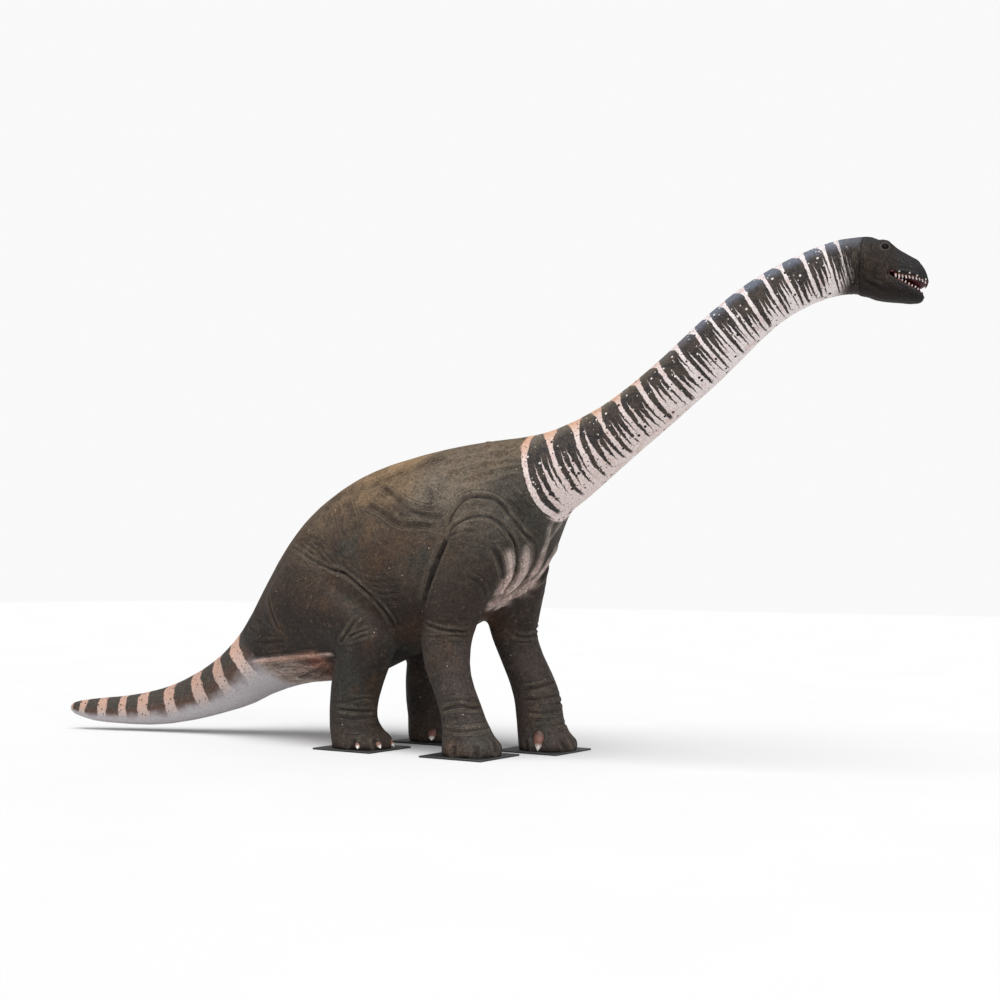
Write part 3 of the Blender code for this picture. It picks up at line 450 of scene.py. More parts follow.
def corners(obj):
    """The vertices' places in the frame, one row each."""
    flat = np.empty(len(obj.data.vertices) * 3)
    obj.data.vertices.foreach_get("co", flat)
    return flat.reshape(-1, 3)


def set_corners(obj, points):
    obj.data.vertices.foreach_set("co", points.ravel())
    obj.data.update()


def places(obj):
    """The vertices' places in the body's frame, one row each."""
    return corners(obj) - SHIFT


def move_to(obj, points):
    set_corners(obj, points + SHIFT)


def normals(obj):
    flat = np.empty(len(obj.data.vertices) * 3, np.float32)
    obj.data.vertex_normals.foreach_get("vector", flat)
    return flat.reshape(-1, 3).astype(float)


def keep(obj, name, values):
    """Stores one number for each vertex."""
    layer = obj.data.attributes.get(name) or obj.data.attributes.new(name, "FLOAT", "POINT")
    layer.data.foreach_set("value", np.asarray(values, np.float32))


def smooth_step(low, high, value):
    t = np.clip((value - low) / (high - low), 0.0, 1.0)
    return t * t * (3 - 2 * t)


# The spine
def plan_bend(run, turn, length):
    """Sideways reach of a path that turns evenly over a length and then runs straight."""
    near = turn * run * run / (2 * length)
    far = turn * length / 2 + turn * (run - length)
    return np.where(run < length, near, far)


def spine_points(x):
    """Points of the trunk's middle line at these places along X."""
    neck = plan_bend(np.maximum(x - NECK_START, 0), NECK_TURN, NECK_BEND)
    tail = plan_bend(np.maximum(TAIL_START - x, 0), TAIL_TURN, TAIL_BEND)
    middle = np.interp(x, *zip(*MIDDLE_LINE))
    return np.stack([x, neck - tail, middle], 1)


def nearest_of(line, points):
    """For each point the number of the nearest point of the line."""
    near = np.empty(len(points), int)
    for start in range(0, len(points), 20000):
        part = points[start:start + 20000]
        gap = (part ** 2).sum(1)[:, None] - 2 * part @ line.T + (line ** 2).sum(1)[None]
        near[start:start + 20000] = gap.argmin(1)
    return near


def stripe_band(points):
    """Which neck stripes, counted from the body, each point lies between."""
    x = np.arange(-0.5, 3.4, 0.005)
    run = x[nearest_of(spine_points(x)[:, :2], points[:, :2])]
    past = np.array([run - place - math.tan(math.radians(lean)) * (points[:, 2] - height)
                     for place, height, lean in NECK_STRIPES])
    number = np.clip((past > 0).sum(0) - 1, 0, len(NECK_STRIPES) - 2)
    every = np.arange(len(points))
    return number + past[number, every] / np.maximum(past[number, every] - past[number + 1, every], 0.03)


def round_spine(points):
    """For each point the spine's place along X, and the way round from the top, 0, to the underside, 1."""
    x = np.arange(-4.54, 3.05, 0.01)
    line = spine_points(x)
    run = np.gradient(line, axis=0)
    for _ in range(8):
        run[1:-1] = (run[:-2] + run[1:-1] + run[2:]) / 3
    run /= np.linalg.norm(run, axis=1)[:, None]
    near = nearest_of(line, points)
    offset = points - line[near]
    ahead = (offset * run[near]).sum(1)
    up = np.array([0, 0, 1.0]) - run[near] * run[near][:, 2:3]
    up /= np.linalg.norm(up, axis=1)[:, None]
    side = np.cross(run[near], up)
    angle = np.arctan2((offset * side).sum(1), (offset * up).sum(1))
    return x[near] + ahead * run[near][:, 0], angle / math.pi


# The head's own plane
SEAM_Y = float(spine_points(np.array([SEAM_X]))[0, 1])


def to_head(points):
    """Places forward of the seam, to the head's left, and up."""
    across = points[:, 1] - SEAM_Y
    ahead = points[:, 0] - SEAM_X
    above = points[:, 2] - HEAD_MIDDLE
    forward = ahead * math.cos(HEAD_TURN) + across * math.sin(HEAD_TURN)
    aside = across * math.cos(HEAD_TURN) - ahead * math.sin(HEAD_TURN)
    sideways = aside * math.cos(HEAD_ROLL) - above * math.sin(HEAD_ROLL)
    up = above * math.cos(HEAD_ROLL) + aside * math.sin(HEAD_ROLL)
    return np.stack([forward, sideways, up + HEAD_MIDDLE], 1)


def from_head(points):
    """The body's frame for places in the head's own plane."""
    above = points[:, 2] - HEAD_MIDDLE
    aside = points[:, 1] * math.cos(HEAD_ROLL) + above * math.sin(HEAD_ROLL)
    up = above * math.cos(HEAD_ROLL) - points[:, 1] * math.sin(HEAD_ROLL)
    x = SEAM_X + points[:, 0] * math.cos(HEAD_TURN) - aside * math.sin(HEAD_TURN)
    y = SEAM_Y + points[:, 0] * math.sin(HEAD_TURN) + aside * math.cos(HEAD_TURN)
    return np.stack([x, y, HEAD_MIDDLE + up], 1)


# Folds
def camera_axes():
    """The camera's right, up and forward directions."""
    turn, lift, roll = CAMERA_TURN, CAMERA_LIFT, CAMERA_ROLL
    ahead = np.array([-math.sin(turn) * math.cos(lift), math.cos(turn) * math.cos(lift), math.sin(lift)])
    level = np.cross(ahead, (0, 0, 1))
    level /= np.linalg.norm(level)
    upright = np.cross(level, ahead)
    right = level * math.cos(roll) + upright * math.sin(roll)
    up = upright * math.cos(roll) - level * math.sin(roll)
    return right, up, ahead


def picture_ray(across, down):
    """Direction from the camera through a point of the picture."""
    right, up, ahead = camera_axes()
    x = across - PICTURE / 2
    y = down - PICTURE / 2
    ray = ahead + right * x / FOCAL_PIXELS - up * y / FOCAL_PIXELS
    return ray / np.linalg.norm(ray)


def flowing(points, steps=10):
    """A smooth curve through the points, as closely spaced points of its own."""
    rows = np.array(points, float)
    rows = np.vstack([2 * rows[0] - rows[1], rows, 2 * rows[-1] - rows[-2]])
    made = []
    for a, b, c, d in zip(rows, rows[1:], rows[2:], rows[3:]):
        for t in np.arange(steps) / steps:
            made.append(0.5 * (2 * b + (c - a) * t + (2 * a - 5 * b + 4 * c - d) * t * t
                               + (3 * b - a - 3 * c + d) * t ** 3))
    made.append(rows[-2])
    return np.array(made)


class Surface:
    """A skin as it is before its folds, to lay lines on."""

    def __init__(self, obj):
        self.points = places(obj)
        self.normals = normals(obj)
        faces = [tuple(polygon.vertices) for polygon in obj.data.polygons]
        self.tree = BVHTree.FromPolygons([tuple(p) for p in self.points], faces)

    def settle(self, line):
        """The line evened out and laid on the skin, with the skin's direction at each point."""
        line = np.array(line).reshape(-1, 3)
        for _ in range(2):
            line[1:-1] = (line[:-2] + line[1:-1] * 2 + line[2:]) / 4
        hits = [self.tree.find_nearest(Vector(p)) for p in line]
        return np.array([hit[0] for hit in hits]), np.array([hit[1] for hit in hits])

    def from_picture(self, points):
        eye = Vector(CAMERA_PLACE)
        hits = [self.tree.ray_cast(eye, Vector(picture_ray(*p))) for p in flowing(points)]
        return self.settle(unbroken([hit[0] for hit in hits if hit[0] is not None]))

    def other_side(self, line, moving):
        """The same fold on the animal's left, moved with the leg where it lies on one."""
        if not len(line):
            return line, line
        if moving == "in the head":
            mirrored = from_head(to_head(line) * (1, -1, 1))
        else:
            mirrored = line * (1, -1, 1)
            if moving == "with the leg":
                lead = FORE_LEAD if line[:, 0].mean() > LEGS_PART else HIND_LEAD
                mirrored[:, 0] += np.interp(line[:, 2], *zip(*lead))
        hits = [self.tree.find_nearest(Vector(p)) for p in mirrored]
        return self.settle(unbroken([hit[0] for hit in hits if hit[3] < MIRROR_REACH]))


def unbroken(points):
    """The longest stretch of a line that has no jump in it."""
    best = []
    stretch = []
    for point in points:
        if stretch and (point - stretch[-1]).length > LINE_JUMP:
            stretch = []
        stretch.append(point)
        if len(stretch) > len(best):
            best = stretch
    return best


def lay_lines(obj, groups):
    """Every fold as (line, facing, depth, width, held), on both sides of the body."""
    surface = Surface(obj)
    laid = []
    for group, moving in groups:
        for depth, width, *held, points in group:
            line, facing = surface.from_picture(points)
            laid.append((line, facing, depth, width, held))
            if moving:
                line, facing = surface.other_side(line, moving)
                laid.append((line, facing, depth, width, held))
    return [fold for fold in laid if len(fold[0]) > 3]


def refine(obj, laid, reach):
    """Splits the faces near the folds once more, so that they stay crisp."""
    count = sum(len(fold[0]) for fold in laid)
    tree = KDTree(count)
    for number, point in enumerate(np.vstack([fold[0] for fold in laid])):
        tree.insert(Vector(point), number)
    tree.balance()
    close = np.array([tree.find(Vector(point))[2] < reach for point in places(obj)])
    faces = obj.data.polygons
    numbers = np.empty(len(faces) * 4, int)
    faces.foreach_get("vertices", numbers)
    select_faces(obj, close[numbers.reshape(-1, 4)].any(1))
    bpy.ops.object.mode_set(mode="EDIT")
    bpy.ops.mesh.subdivide(number_cuts=1, smoothness=0.0, quadcorner="INNERVERT")
    bpy.ops.object.mode_set(mode="OBJECT")
    apply(obj, "SMOOTH", factor=0.5, iterations=2)


def select_faces(obj, chosen):
    """Selects these faces of the piece and nothing else."""
    pick(obj)
    bpy.context.tool_settings.mesh_select_mode = (False, False, True)
    obj.data.vertices.foreach_set("select", np.zeros(len(obj.data.vertices), bool))
    obj.data.edges.foreach_set("select", np.zeros(len(obj.data.edges), bool))
    obj.data.polygons.foreach_set("select", chosen)


def press_fold(points, facings, line, facing, depth, width, held, fields):
    """Adds one fold along a line to the fields of height and paint."""
    low = line.min(0) - FOLD_REACH
    high = line.max(0) + FOLD_REACH
    near = np.flatnonzero(((points > low) & (points < high)).all(1))
    nearest = nearest_of(line, points[near])
    away = np.linalg.norm(points[near] - line[nearest], axis=1)
    agree = np.clip((facings[near] * facing[nearest]).sum(1) * 1.6, 0, 1)
    run = np.concatenate([[0], np.cumsum(np.linalg.norm(np.diff(line, axis=0), axis=1))])
    taper = min(FOLD_TAPER, run[-1] * 0.4)
    fade = smooth_step(0.0, taper, run[nearest])
    if not held:
        fade = fade * smooth_step(0.0, taper, run[-1] - run[nearest])
    # A fold is never even: it deepens and thins along its run
    start = line[0].sum() * 40
    uneven = 1 + 0.20 * np.sin(run[nearest] * 23 + start) + 0.12 * np.sin(run[nearest] * 59 + start * 2)
    share = agree * fade * uneven
    narrow = width * (1.4 - 0.4 * uneven) * (0.5 + 0.5 * fade)
    groove = np.exp(-away / narrow) * 0.5 + np.exp(-(away / narrow) ** 2) * 0.5
    rim = np.exp(-((away - 2.2 * width) / (1.3 * width)) ** 2) * share
    fields["height"][near] += depth * (0.40 * rim - groove * share)
    # The steeper a fold for its width, the stronger its marks, and the darker the painted shade along its
    # line
    steep = np.clip((depth / width - 0.35) / 0.5, 0.15, 1.0) if depth > 0 else 0.9
    strength = min(abs(depth) / 0.010, 1.0) * steep
    line_mark = np.exp(-(away / narrow / 0.62) ** 2) * share * strength
    marks = {"ridge": line_mark}
    if depth > 0:
        pleat = agree * fade * np.exp(-(away / PLEAT_REACH) ** 2)
        closer = pleat > fields["pleat"][near]
        fields["beside"][near[closer]] = away[closer]
        # Painted shade spreads around the fold, more of it for a deeper one
        dusk = np.exp(-(away / width / 3.2) ** 2) * share * min(depth / 0.020, 1.0)
        marks = {"crease": line_mark, "ridge": rim * strength, "dusk": dusk, "pleat": pleat}
    if depth < BLUSH_FROM:
        marks["blush"] = np.exp(-(away / width / 2.0) ** 2) * share
    for name, mark in marks.items():
        fields[name][near] = np.maximum(fields[name][near], mark)


def fold_skin(obj, groups, reach=None):
    """Presses the folds into the skin, and keeps where they lie for the paint."""
    laid = lay_lines(obj, groups)
    if reach:
        refine(obj, laid, reach)
    points = places(obj)
    facings = normals(obj)
    fields = {name: np.zeros(len(points)) for name in FOLD_FIELDS}
    for line, facing, depth, width, held in laid:
        press_fold(points, facings, line, facing, depth, width, held, fields)
    height = np.clip(fields.pop("height"), *FOLD_LIMITS)
    points = points + facings * height[:, None]
    points[:, 2] = np.where(points[:, 2] < SOLE_FLAT, SOLE, points[:, 2])
    move_to(obj, points)
    for name, values in fields.items():
        keep(obj, name, values)


# Materials
class Value:
    """A socket of a material's nodes that takes part in sums."""

    def __init__(self, paint, socket):
        self.paint = paint
        self.socket = socket

    def __add__(self, other):
        return self.paint.maths("ADD", self, other)

    __radd__ = __add__

    def __sub__(self, other):
        return self.paint.maths("SUBTRACT", self, other)

    def __rsub__(self, other):
        return self.paint.maths("SUBTRACT", other, self)

    def __mul__(self, other):
        return self.paint.maths("MULTIPLY", self, other)

    __rmul__ = __mul__

    def __truediv__(self, other):
        return self.paint.maths("DIVIDE", self, other)


class Paint:
    """One material: its nodes, and the sums made of them."""

    def __init__(self, name):
        self.material = bpy.data.materials.new(name)
        self.material.use_nodes = True
        self.tree = self.material.node_tree
        self.tree.nodes.clear()
        output = self.tree.nodes.new("ShaderNodeOutputMaterial")
        self.shader = self.tree.nodes.new("ShaderNodeBsdfPrincipled")
        self.tree.links.new(self.shader.outputs["BSDF"], output.inputs["Surface"])

    def add(self, kind, settings=None, inputs=None, out=0):
        """A node of this kind with its settings, then its inputs' values or links, by name or number."""
        made = self.tree.nodes.new(kind)
        for name, value in (settings or {}).items():
            if name == "stops":
                ramp = made.color_ramp.elements
                while len(ramp) < len(value):
                    ramp.new(1.0)
                for stop, (place, colour) in zip(ramp, value):
                    stop.position = place
                    stop.color = (*colour, 1.0)
            else:
                setattr(made, name, value)
        for name, value in (inputs or {}).items():
            self.feed(made.inputs[name], value)
        return Value(self, made.outputs[out])

    def feed(self, socket, value):
        if isinstance(value, Value):
            self.tree.links.new(value.socket, socket)
        elif socket.type == "RGBA" and len(value) == 3:
            socket.default_value = (*value, 1.0)
        else:
            socket.default_value = value

    def maths(self, operation, *values):
        return self.add("ShaderNodeMath", {"operation": operation}, dict(enumerate(values)))

    def attribute(self, name):
        return self.add("ShaderNodeAttribute", {"attribute_name": name}, out="Fac")

    def place(self, scale=(1, 1, 1)):
        spot = self.add("ShaderNodeTexCoord", out="Object")
        if scale == (1, 1, 1):
            return spot
        return self.add("ShaderNodeMapping", None, {"Vector": spot, "Scale": scale})

    def noise(self, scale, detail=2.0, stretch=(1, 1, 1), roughness=0.5):
        return self.add("ShaderNodeTexNoise", None, {"Vector": self.place(stretch), "Scale": scale,
                                                    "Detail": detail, "Roughness": roughness}, out="Fac")

    def cells(self, scale, feature="F1", out="Distance", jitter=1.0):
        return self.add("ShaderNodeTexVoronoi", {"feature": feature},
                        {"Vector": self.place(), "Scale": scale, "Randomness": jitter}, out=out)

    def dots(self, scale, radius):
        """Round dots of mixed sizes, up to this share of a cell."""
        return self.step(-0.015, 0.03, radius - self.cells(scale))

    def random(self, value):
        return self.add("ShaderNodeTexWhiteNoise", {"noise_dimensions": "1D"}, {"W": value})

    def ramp(self, value, stops):
        return self.add("ShaderNodeValToRGB", {"stops": stops}, {"Fac": value})

    def relief(self, strength, distance, height):
        return self.add("ShaderNodeBump", None,
                        {"Strength": strength, "Distance": distance, "Height": height})

    def step(self, low, high, value):
        """0 below low and 1 above high, smooth between."""
        return self.add("ShaderNodeMapRange", {"interpolation_type": "SMOOTHSTEP"},
                        {"Value": value, "From Min": low, "From Max": high})

    def mix(self, share, first, second, blend="MIX"):
        return self.add("ShaderNodeMix", {"data_type": "RGBA", "blend_type": blend},
                        {0: share, 6: first, 7: second}, out=2)

    def finish(self, **inputs):
        for name, value in inputs.items():
            self.feed(self.shader.inputs[name.replace("_", " ").title().replace("Ior", "IOR")], value)
        return self.material


def shade(red, green, blue):
    """A colour from its screen values of 0 to 255."""
    def light(value):
        share = value / 255
        return share / 12.92 if share <= 0.04045 else ((share + 0.055) / 1.055) ** 2.4
    return (light(red), light(green), light(blue))


def largest(one, two):
    return one.paint.maths("MAXIMUM", one, two)


def neck_paint(paint):
    """Light stripes over dark, each dark band parted below by two light wedges into fingers."""
    around = paint.attribute("around")
    rise = paint.attribute("rise")
    wobble = (paint.noise(8.0, 2.0) - 0.5) * 0.10 + (paint.noise(38.0, 3.0, roughness=0.6) - 0.5) * 0.09
    ragged = paint.attribute("band") + wobble
    number = paint.maths("FLOOR", ragged)
    across = paint.maths("FRACT", ragged)
    broad = (1 - paint.step(0.20, 0.42, around)) * (1 - paint.step(0.10, 0.45, rise))
    half = 0.080 + 0.070 * broad + 0.020 * paint.step(0.45, 0.9, around)
    flare = 0.36 * (1 - paint.step(0.06, 0.30, around))
    rear = paint.step(-0.015, 0.015, half - across)
    front = paint.step(-0.015, 0.015, half + flare - 1 + across)
    light = largest(rear, front)
    for seed, centre, apex, widen in NECK_WEDGES:
        top = apex + (paint.random(number + seed) - 0.5) * 0.20
        middle = centre + (paint.random(number + seed * 3) - 0.5) * 0.08
        wedge = paint.step(0.0, 0.025, (around - top) * widen - paint.maths("ABSOLUTE", across - middle))
        light = largest(light, wedge)
    light = largest(light, paint.step(0.87, 0.95, around + wobble * 0.5))

    speckle = paint.noise(85.0, 3.0, roughness=0.7)
    lower = paint.mix(paint.step(0.14, 0.46, around), shade(192, 150, 122), shade(214, 199, 195))
    upper = paint.mix(paint.step(0.05, 0.35, around), shade(214, 202, 204), shade(220, 211, 210))
    pale = paint.mix(paint.step(0.15, 0.55, rise), lower, upper)
    pale = paint.mix(0.45 * paint.step(0.5, 0.75, paint.noise(11.0, 3.0)), pale, shade(186, 142, 136))
    pale = paint.mix(0.60 * paint.step(0.52, 0.70, speckle), pale, shade(112, 98, 96))
    pale = paint.mix(0.40 * paint.step(0.48, 0.30, speckle), pale, shade(240, 232, 230))
    pale = paint.mix(largest(paint.dots(12.0, 0.16), paint.dots(23.0, 0.15)), pale, shade(20, 15, 16))

    dark = paint.mix(paint.step(0.40, 0.60, paint.noise(14.0, 4.0)), shade(44, 40, 40), shade(64, 55, 49))
    dark = paint.mix(0.50 * paint.step(0.53, 0.68, speckle), dark, shade(112, 104, 98))
    dark = paint.mix(0.55 * paint.step(0.47, 0.34, speckle), dark, shade(14, 11, 12))
    # On top of the dark bands: brown lower down the neck, and towards the head blue-grey paint with a painted
    # sheen of the sky's reflection
    crown = paint.mix(paint.step(0.32, 0.62, rise), shade(86, 76, 62), shade(94, 99, 112))
    crown = paint.mix(0.5 * paint.step(0.5, 0.7, speckle), crown, shade(158, 158, 166))
    edge = around + (paint.noise(10.0, 3.0) - 0.5) * 0.12
    dark = paint.mix(paint.step(0.36, 0.18, edge), dark, crown)
    dark = paint.mix(largest(paint.dots(13.0, 0.14), paint.dots(21.0, 0.12)), dark, shade(212, 205, 198))
    colour = paint.mix(light, dark, pale)

    # Behind the head the stripes give way to brown wrinkled skin
    streak = paint.noise(46.0, 3.0, (1.0, 1.0, 0.14), 0.6)
    nape = paint.mix(paint.step(0.50, 0.68, streak), shade(38, 31, 28), shade(88, 78, 68))
    # Blue-grey on top of the nape, paint with a painted sheen of the sky's reflection
    nape = paint.mix(paint.step(0.36, 0.15, edge), nape, shade(80, 82, 90))
    nape = paint.mix(paint.dots(16.0, 0.12), nape, shade(150, 144, 132))
    # Painted shade in the nape's creases
    nape = paint.mix(paint.attribute("crease") * 0.8, nape, shade(16, 12, 11))
    return paint.mix(paint.attribute("nape"), colour, nape)


def body_paint(paint):
    """Olive brown on the back over darker flanks, with painted shade in the folds and under the belly."""
    height = paint.add("ShaderNodeSeparateXYZ", None, {0: paint.place()}, out="Z")
    # Tone by height, part paint and part painted light: lighter on top and darker lower down, as light falls
    # from above
    level = height * 0.36 + (paint.noise(2.6, 4.0, roughness=0.6) - 0.5) * 0.30
    hind = paint.ramp(level, (
        (0.0, shade(58, 47, 41)), (0.12, shade(46, 38, 34)), (0.22, shade(37, 31, 29)),
        (0.40, shade(44, 35, 31)), (0.56, shade(60, 48, 40)), (0.72, shade(90, 75, 60)),
        (0.92, shade(144, 118, 88))))
    fore = paint.ramp(level, (
        (0.0, shade(66, 56, 53)), (0.24, shade(64, 55, 52)), (0.50, shade(68, 58, 52)),
        (0.64, shade(66, 56, 48)), (0.78, shade(108, 98, 86)), (0.95, shade(98, 84, 68))))
    body = paint.mix(paint.attribute("fore"), hind, fore)
    cool = paint.step(0.48, 0.64, paint.noise(2.2, 5.0, roughness=0.65)) * (1 - paint.step(0.60, 0.85, level))
    body = paint.mix(cool * 0.60, body, shade(54, 56, 51))
    warm = paint.step(0.50, 0.66, paint.noise(2.9, 5.0, (1, 1.3, 0.8), roughness=0.65))
    body = paint.mix(warm * 0.36, body, shade(88, 64, 44))
    body = paint.mix(paint.attribute("collar") * 0.70, body, shade(50, 50, 46))
    # Painted shade under the belly
    body = paint.mix(paint.attribute("belly") * 0.80, body, shade(42, 31, 25))
    body = paint.mix(paint.attribute("lowest") * 0.45, body, shade(112, 80, 62))
    streak = paint.noise(5.0, 4.0, (0.8, 0.8, 4.0), 0.6)
    red = paint.mix(paint.step(0.42, 0.62, streak), shade(98, 58, 46), shade(168, 118, 100))
    grey = paint.mix(paint.step(0.42, 0.62, streak), shade(146, 128, 118), shade(186, 170, 162))
    body = paint.mix(paint.attribute("root") * 0.92, body, paint.mix(paint.attribute("root_end"), red, grey))
    mottle = paint.noise(24.0, 5.0, roughness=0.75)
    body = paint.mix(paint.step(0.48, 0.68, mottle) * 0.60, body, shade(30, 25, 22))
    body = paint.mix(paint.step(0.46, 0.30, mottle) * 0.30, body, shade(120, 106, 88))
    rubbed = paint.step(0.50, 0.62, paint.noise(7.0, 5.0, roughness=0.75))
    body = paint.mix(rubbed * 0.30, body, shade(38, 35, 31))
    body = paint.mix(paint.dots(9.0, 0.05), body, shade(176, 168, 158))
    breast = paint.mix(paint.step(1.50, 1.80, height), shade(208, 186, 180), shade(134, 126, 119))
    ruddy = paint.mix(paint.attribute("root"), breast, shade(196, 158, 140))
    # Painted shade spread around the deeper folds
    body = paint.mix(paint.attribute("dusk") * 0.62, body, shade(26, 21, 18))
    blush = paint.attribute("blush") * paint.step(2.16, 2.02, height)
    body = paint.mix(blush * 0.92, body, ruddy)
    body = paint.mix(paint.attribute("ridge") * 0.26, body, shade(126, 114, 100))
    # Painted shade along the creases, reddish where they run between the pale chest ridges
    depth = paint.mix(blush, shade(22, 16, 14), shade(104, 56, 48))
    return paint.mix(paint.attribute("crease") * 0.84, body, depth)


def tail_paint(paint):
    """Pink bands with dark specks, fading below into a grey-white underside."""
    around = paint.attribute("around")
    ragged = paint.attribute("tail_band") + (paint.noise(14.0, 3.0) - 0.5) * 0.16
    ragged = ragged + (paint.noise(4.5, 2.0) - 0.5) * 0.30
    across = paint.maths("FRACT", ragged + 0.5)
    first = paint.step(-0.40, -0.60, paint.attribute("tail_band"))
    banded = paint.step(-0.03, 0.03, 0.20 + first * 0.04 - paint.maths("ABSOLUTE", across - 0.5))
    low = around + (paint.noise(9.0, 3.0) - 0.5) * 0.18
    worn = paint.step(0.52, 0.66, paint.noise(60.0, 4.0, (1.6, 1.6, 0.5), 0.7))
    dark = paint.mix(paint.step(0.38, 0.62, low), shade(58, 52, 47), shade(84, 62, 52))
    dark = paint.mix(worn * 0.45, dark, shade(122, 114, 108))
    pale = paint.mix(paint.step(0.35, 0.60, low), shade(174, 142, 127), shade(182, 162, 154))
    pale = paint.mix(worn * 0.35, pale, shade(128, 104, 94))
    # Painted light: the first band, in the rump's shade, is painted lighter
    pale = paint.mix(first, pale, (1.30, 1.28, 1.26), "MULTIPLY")
    pale = paint.mix(paint.dots(26.0, 0.22), pale, shade(52, 40, 36))
    colour = paint.mix(banded, dark, pale)
    under = paint.mix(worn * 0.6, shade(178, 173, 176), shade(138, 131, 132))
    return paint.mix(paint.step(0.54, 0.74, low), colour, under)


def skin_paint():
    paint = Paint("painted_skin")
    colour = paint.mix(paint.attribute("neck"), body_paint(paint), neck_paint(paint))
    colour = paint.mix(paint.attribute("tail"), colour, tail_paint(paint))
    grain = paint.noise(62.0, 4.0, roughness=0.7)
    rough = 0.75 - 0.45 * largest(paint.attribute("neck"), paint.attribute("tail"))
    colour = paint.mix(paint.step(0.49, 0.66, grain) * rough, colour, (0.40, 0.37, 0.35), "MULTIPLY")
    colour = paint.mix(paint.step(0.47, 0.30, grain) * rough, colour, (1.80, 1.74, 1.65), "MULTIPLY")
    # Finer pleats run along beside the folds, sunk in the relief and darkened with painted shade in their
    # hollows
    drift = paint.attribute("beside") * 70.0 + paint.noise(5.0, 3.0) * 3.0
    wave = paint.add("ShaderNodeTexNoise", {"noise_dimensions": "1D"},
                     {"W": drift, "Scale": 1.0, "Detail": 1.0}, out="Fac")
    broken = paint.step(0.36, 0.50, paint.noise(7.0, 2.0))
    pleats = paint.attribute("pleat") * paint.step(0.52, 0.36, wave) * broken
    colour = paint.mix(pleats * 0.70, colour, (0.34, 0.31, 0.29), "MULTIPLY")
    colour = paint.mix(paint.attribute("seam") * 0.85, colour, shade(14, 10, 10))
    rings = paint.noise(13.0, 4.0, (0.7, 0.7, 3.2), 0.65)
    pebbles = grain * 0.6 + paint.noise(24.0, 3.0) * 0.7 + rings * 0.9 - pleats * 1.1
    return paint.finish(base_color=colour, roughness=0.52 + 0.3 * grain, specular_ior_level=0.22,
                        normal=paint.relief(0.7, 0.009, pebbles))


def head_paint():
    """Brown cheeks and grey muzzle, finely speckled, with red gums and a dark mouth."""
    paint = Paint("painted_head")
    speckle = paint.noise(95.0, 4.0, roughness=0.7)
    blotch = paint.noise(16.0, 4.0, roughness=0.6)
    cheek = paint.mix(paint.step(0.40, 0.62, blotch), shade(33, 26, 21), shade(56, 44, 35))
    colour = paint.mix(paint.attribute("crown"), cheek, shade(46, 44, 45))
    colour = paint.mix(paint.attribute("snout"), colour, shade(38, 38, 40))
    colour = paint.mix(paint.attribute("throat") * 0.8, colour, shade(28, 21, 19))
    colour = paint.mix(0.70 * paint.step(0.48, 0.62, speckle), colour, shade(16, 13, 12))
    colour = paint.mix(0.45 * paint.step(0.46, 0.32, speckle), colour, shade(104, 94, 78))
    colour = paint.mix(paint.dots(22.0, 0.09), colour, shade(104, 92, 74))
    colour = paint.mix(paint.attribute("ridge") * 0.25, colour, shade(96, 92, 90))
    # Painted shade around the folds
    colour = paint.mix(paint.attribute("dusk") * 0.85, colour, shade(18, 13, 12))
    # Painted shade along the creases
    colour = paint.mix(paint.attribute("crease") * 0.80, colour, shade(14, 10, 9))
    colour = paint.mix(1.0, colour, (0.70, 0.67, 0.66), "MULTIPLY")
    colour = paint.mix(paint.attribute("lid"), colour, shade(112, 110, 104))
    # Dark round the eyes, and painted shade in the nostril pits
    colour = paint.mix(paint.attribute("socket"), colour, shade(14, 11, 11))
    colour = paint.mix(paint.attribute("speck"), colour, shade(214, 208, 202))
    colour = paint.mix(paint.attribute("gum"), colour, shade(84, 20, 20))
    colour = paint.mix(paint.attribute("mouth"), colour, shade(24, 8, 8))
    colour = paint.mix(paint.attribute("seam") * 0.85, colour, shade(14, 10, 10))
    wet = 0.66 - 0.34 * largest(paint.attribute("gum"), paint.attribute("mouth"))
    return paint.finish(base_color=colour, roughness=wet, specular_ior_level=0.18,
                        normal=paint.relief(0.6, 0.004, speckle + blotch))


def tooth_paint():
    """White enamel that yellows towards the gum."""
    paint = Paint("painted_tooth")
    streak = paint.noise(140.0, 3.0, (1.0, 1.0, 0.2))
    colour = paint.mix(0.4 * streak, shade(228, 218, 219), shade(190, 174, 168))
    colour = paint.mix(paint.step(0.45, 0.10, paint.attribute("tip")), colour, shade(168, 140, 122))
    return paint.finish(base_color=colour, roughness=0.28 + 0.15 * streak)


def claw_paint():
    """Pinkish brown horn with a white tip and fine lengthwise streaks."""
    paint = Paint("painted_claw")
    streak = paint.noise(120.0, 4.0, roughness=0.65)
    tip = paint.attribute("tip") + (paint.noise(45.0, 3.0) - 0.5) * 0.25
    horn = paint.mix(paint.step(0.42, 0.64, streak), shade(130, 92, 80), shade(94, 62, 52))
    horn = paint.mix(paint.step(0.45, 0.10, tip), horn, shade(64, 48, 42))
    colour = paint.mix(paint.step(0.66, 0.86, tip), horn, shade(222, 216, 208))
    return paint.finish(base_color=colour, roughness=0.34 + 0.2 * streak, specular_ior_level=0.4,
                        normal=paint.relief(0.4, 0.002, streak))


def eye_paint():
    """Gloss black, faintly mottled with deep brown."""
    paint = Paint("eye_black")
    mottle = paint.noise(160.0, 3.0)
    colour = paint.mix(mottle, shade(8, 6, 6), shade(24, 15, 11))
    return paint.finish(base_color=colour, roughness=0.22 + 0.08 * mottle, specular_ior_level=0.06)


def mouth_paint():
    """Dark wet red, deeper in places."""
    paint = Paint("mouth_red")
    cloud = paint.noise(40.0, 3.0, roughness=0.6)
    colour = paint.mix(paint.step(0.35, 0.65, cloud), shade(30, 7, 8), shade(76, 18, 19))
    return paint.finish(base_color=colour, roughness=0.34 + 0.2 * cloud, specular_ior_level=0.3,
                        normal=paint.relief(0.4, 0.002, cloud))


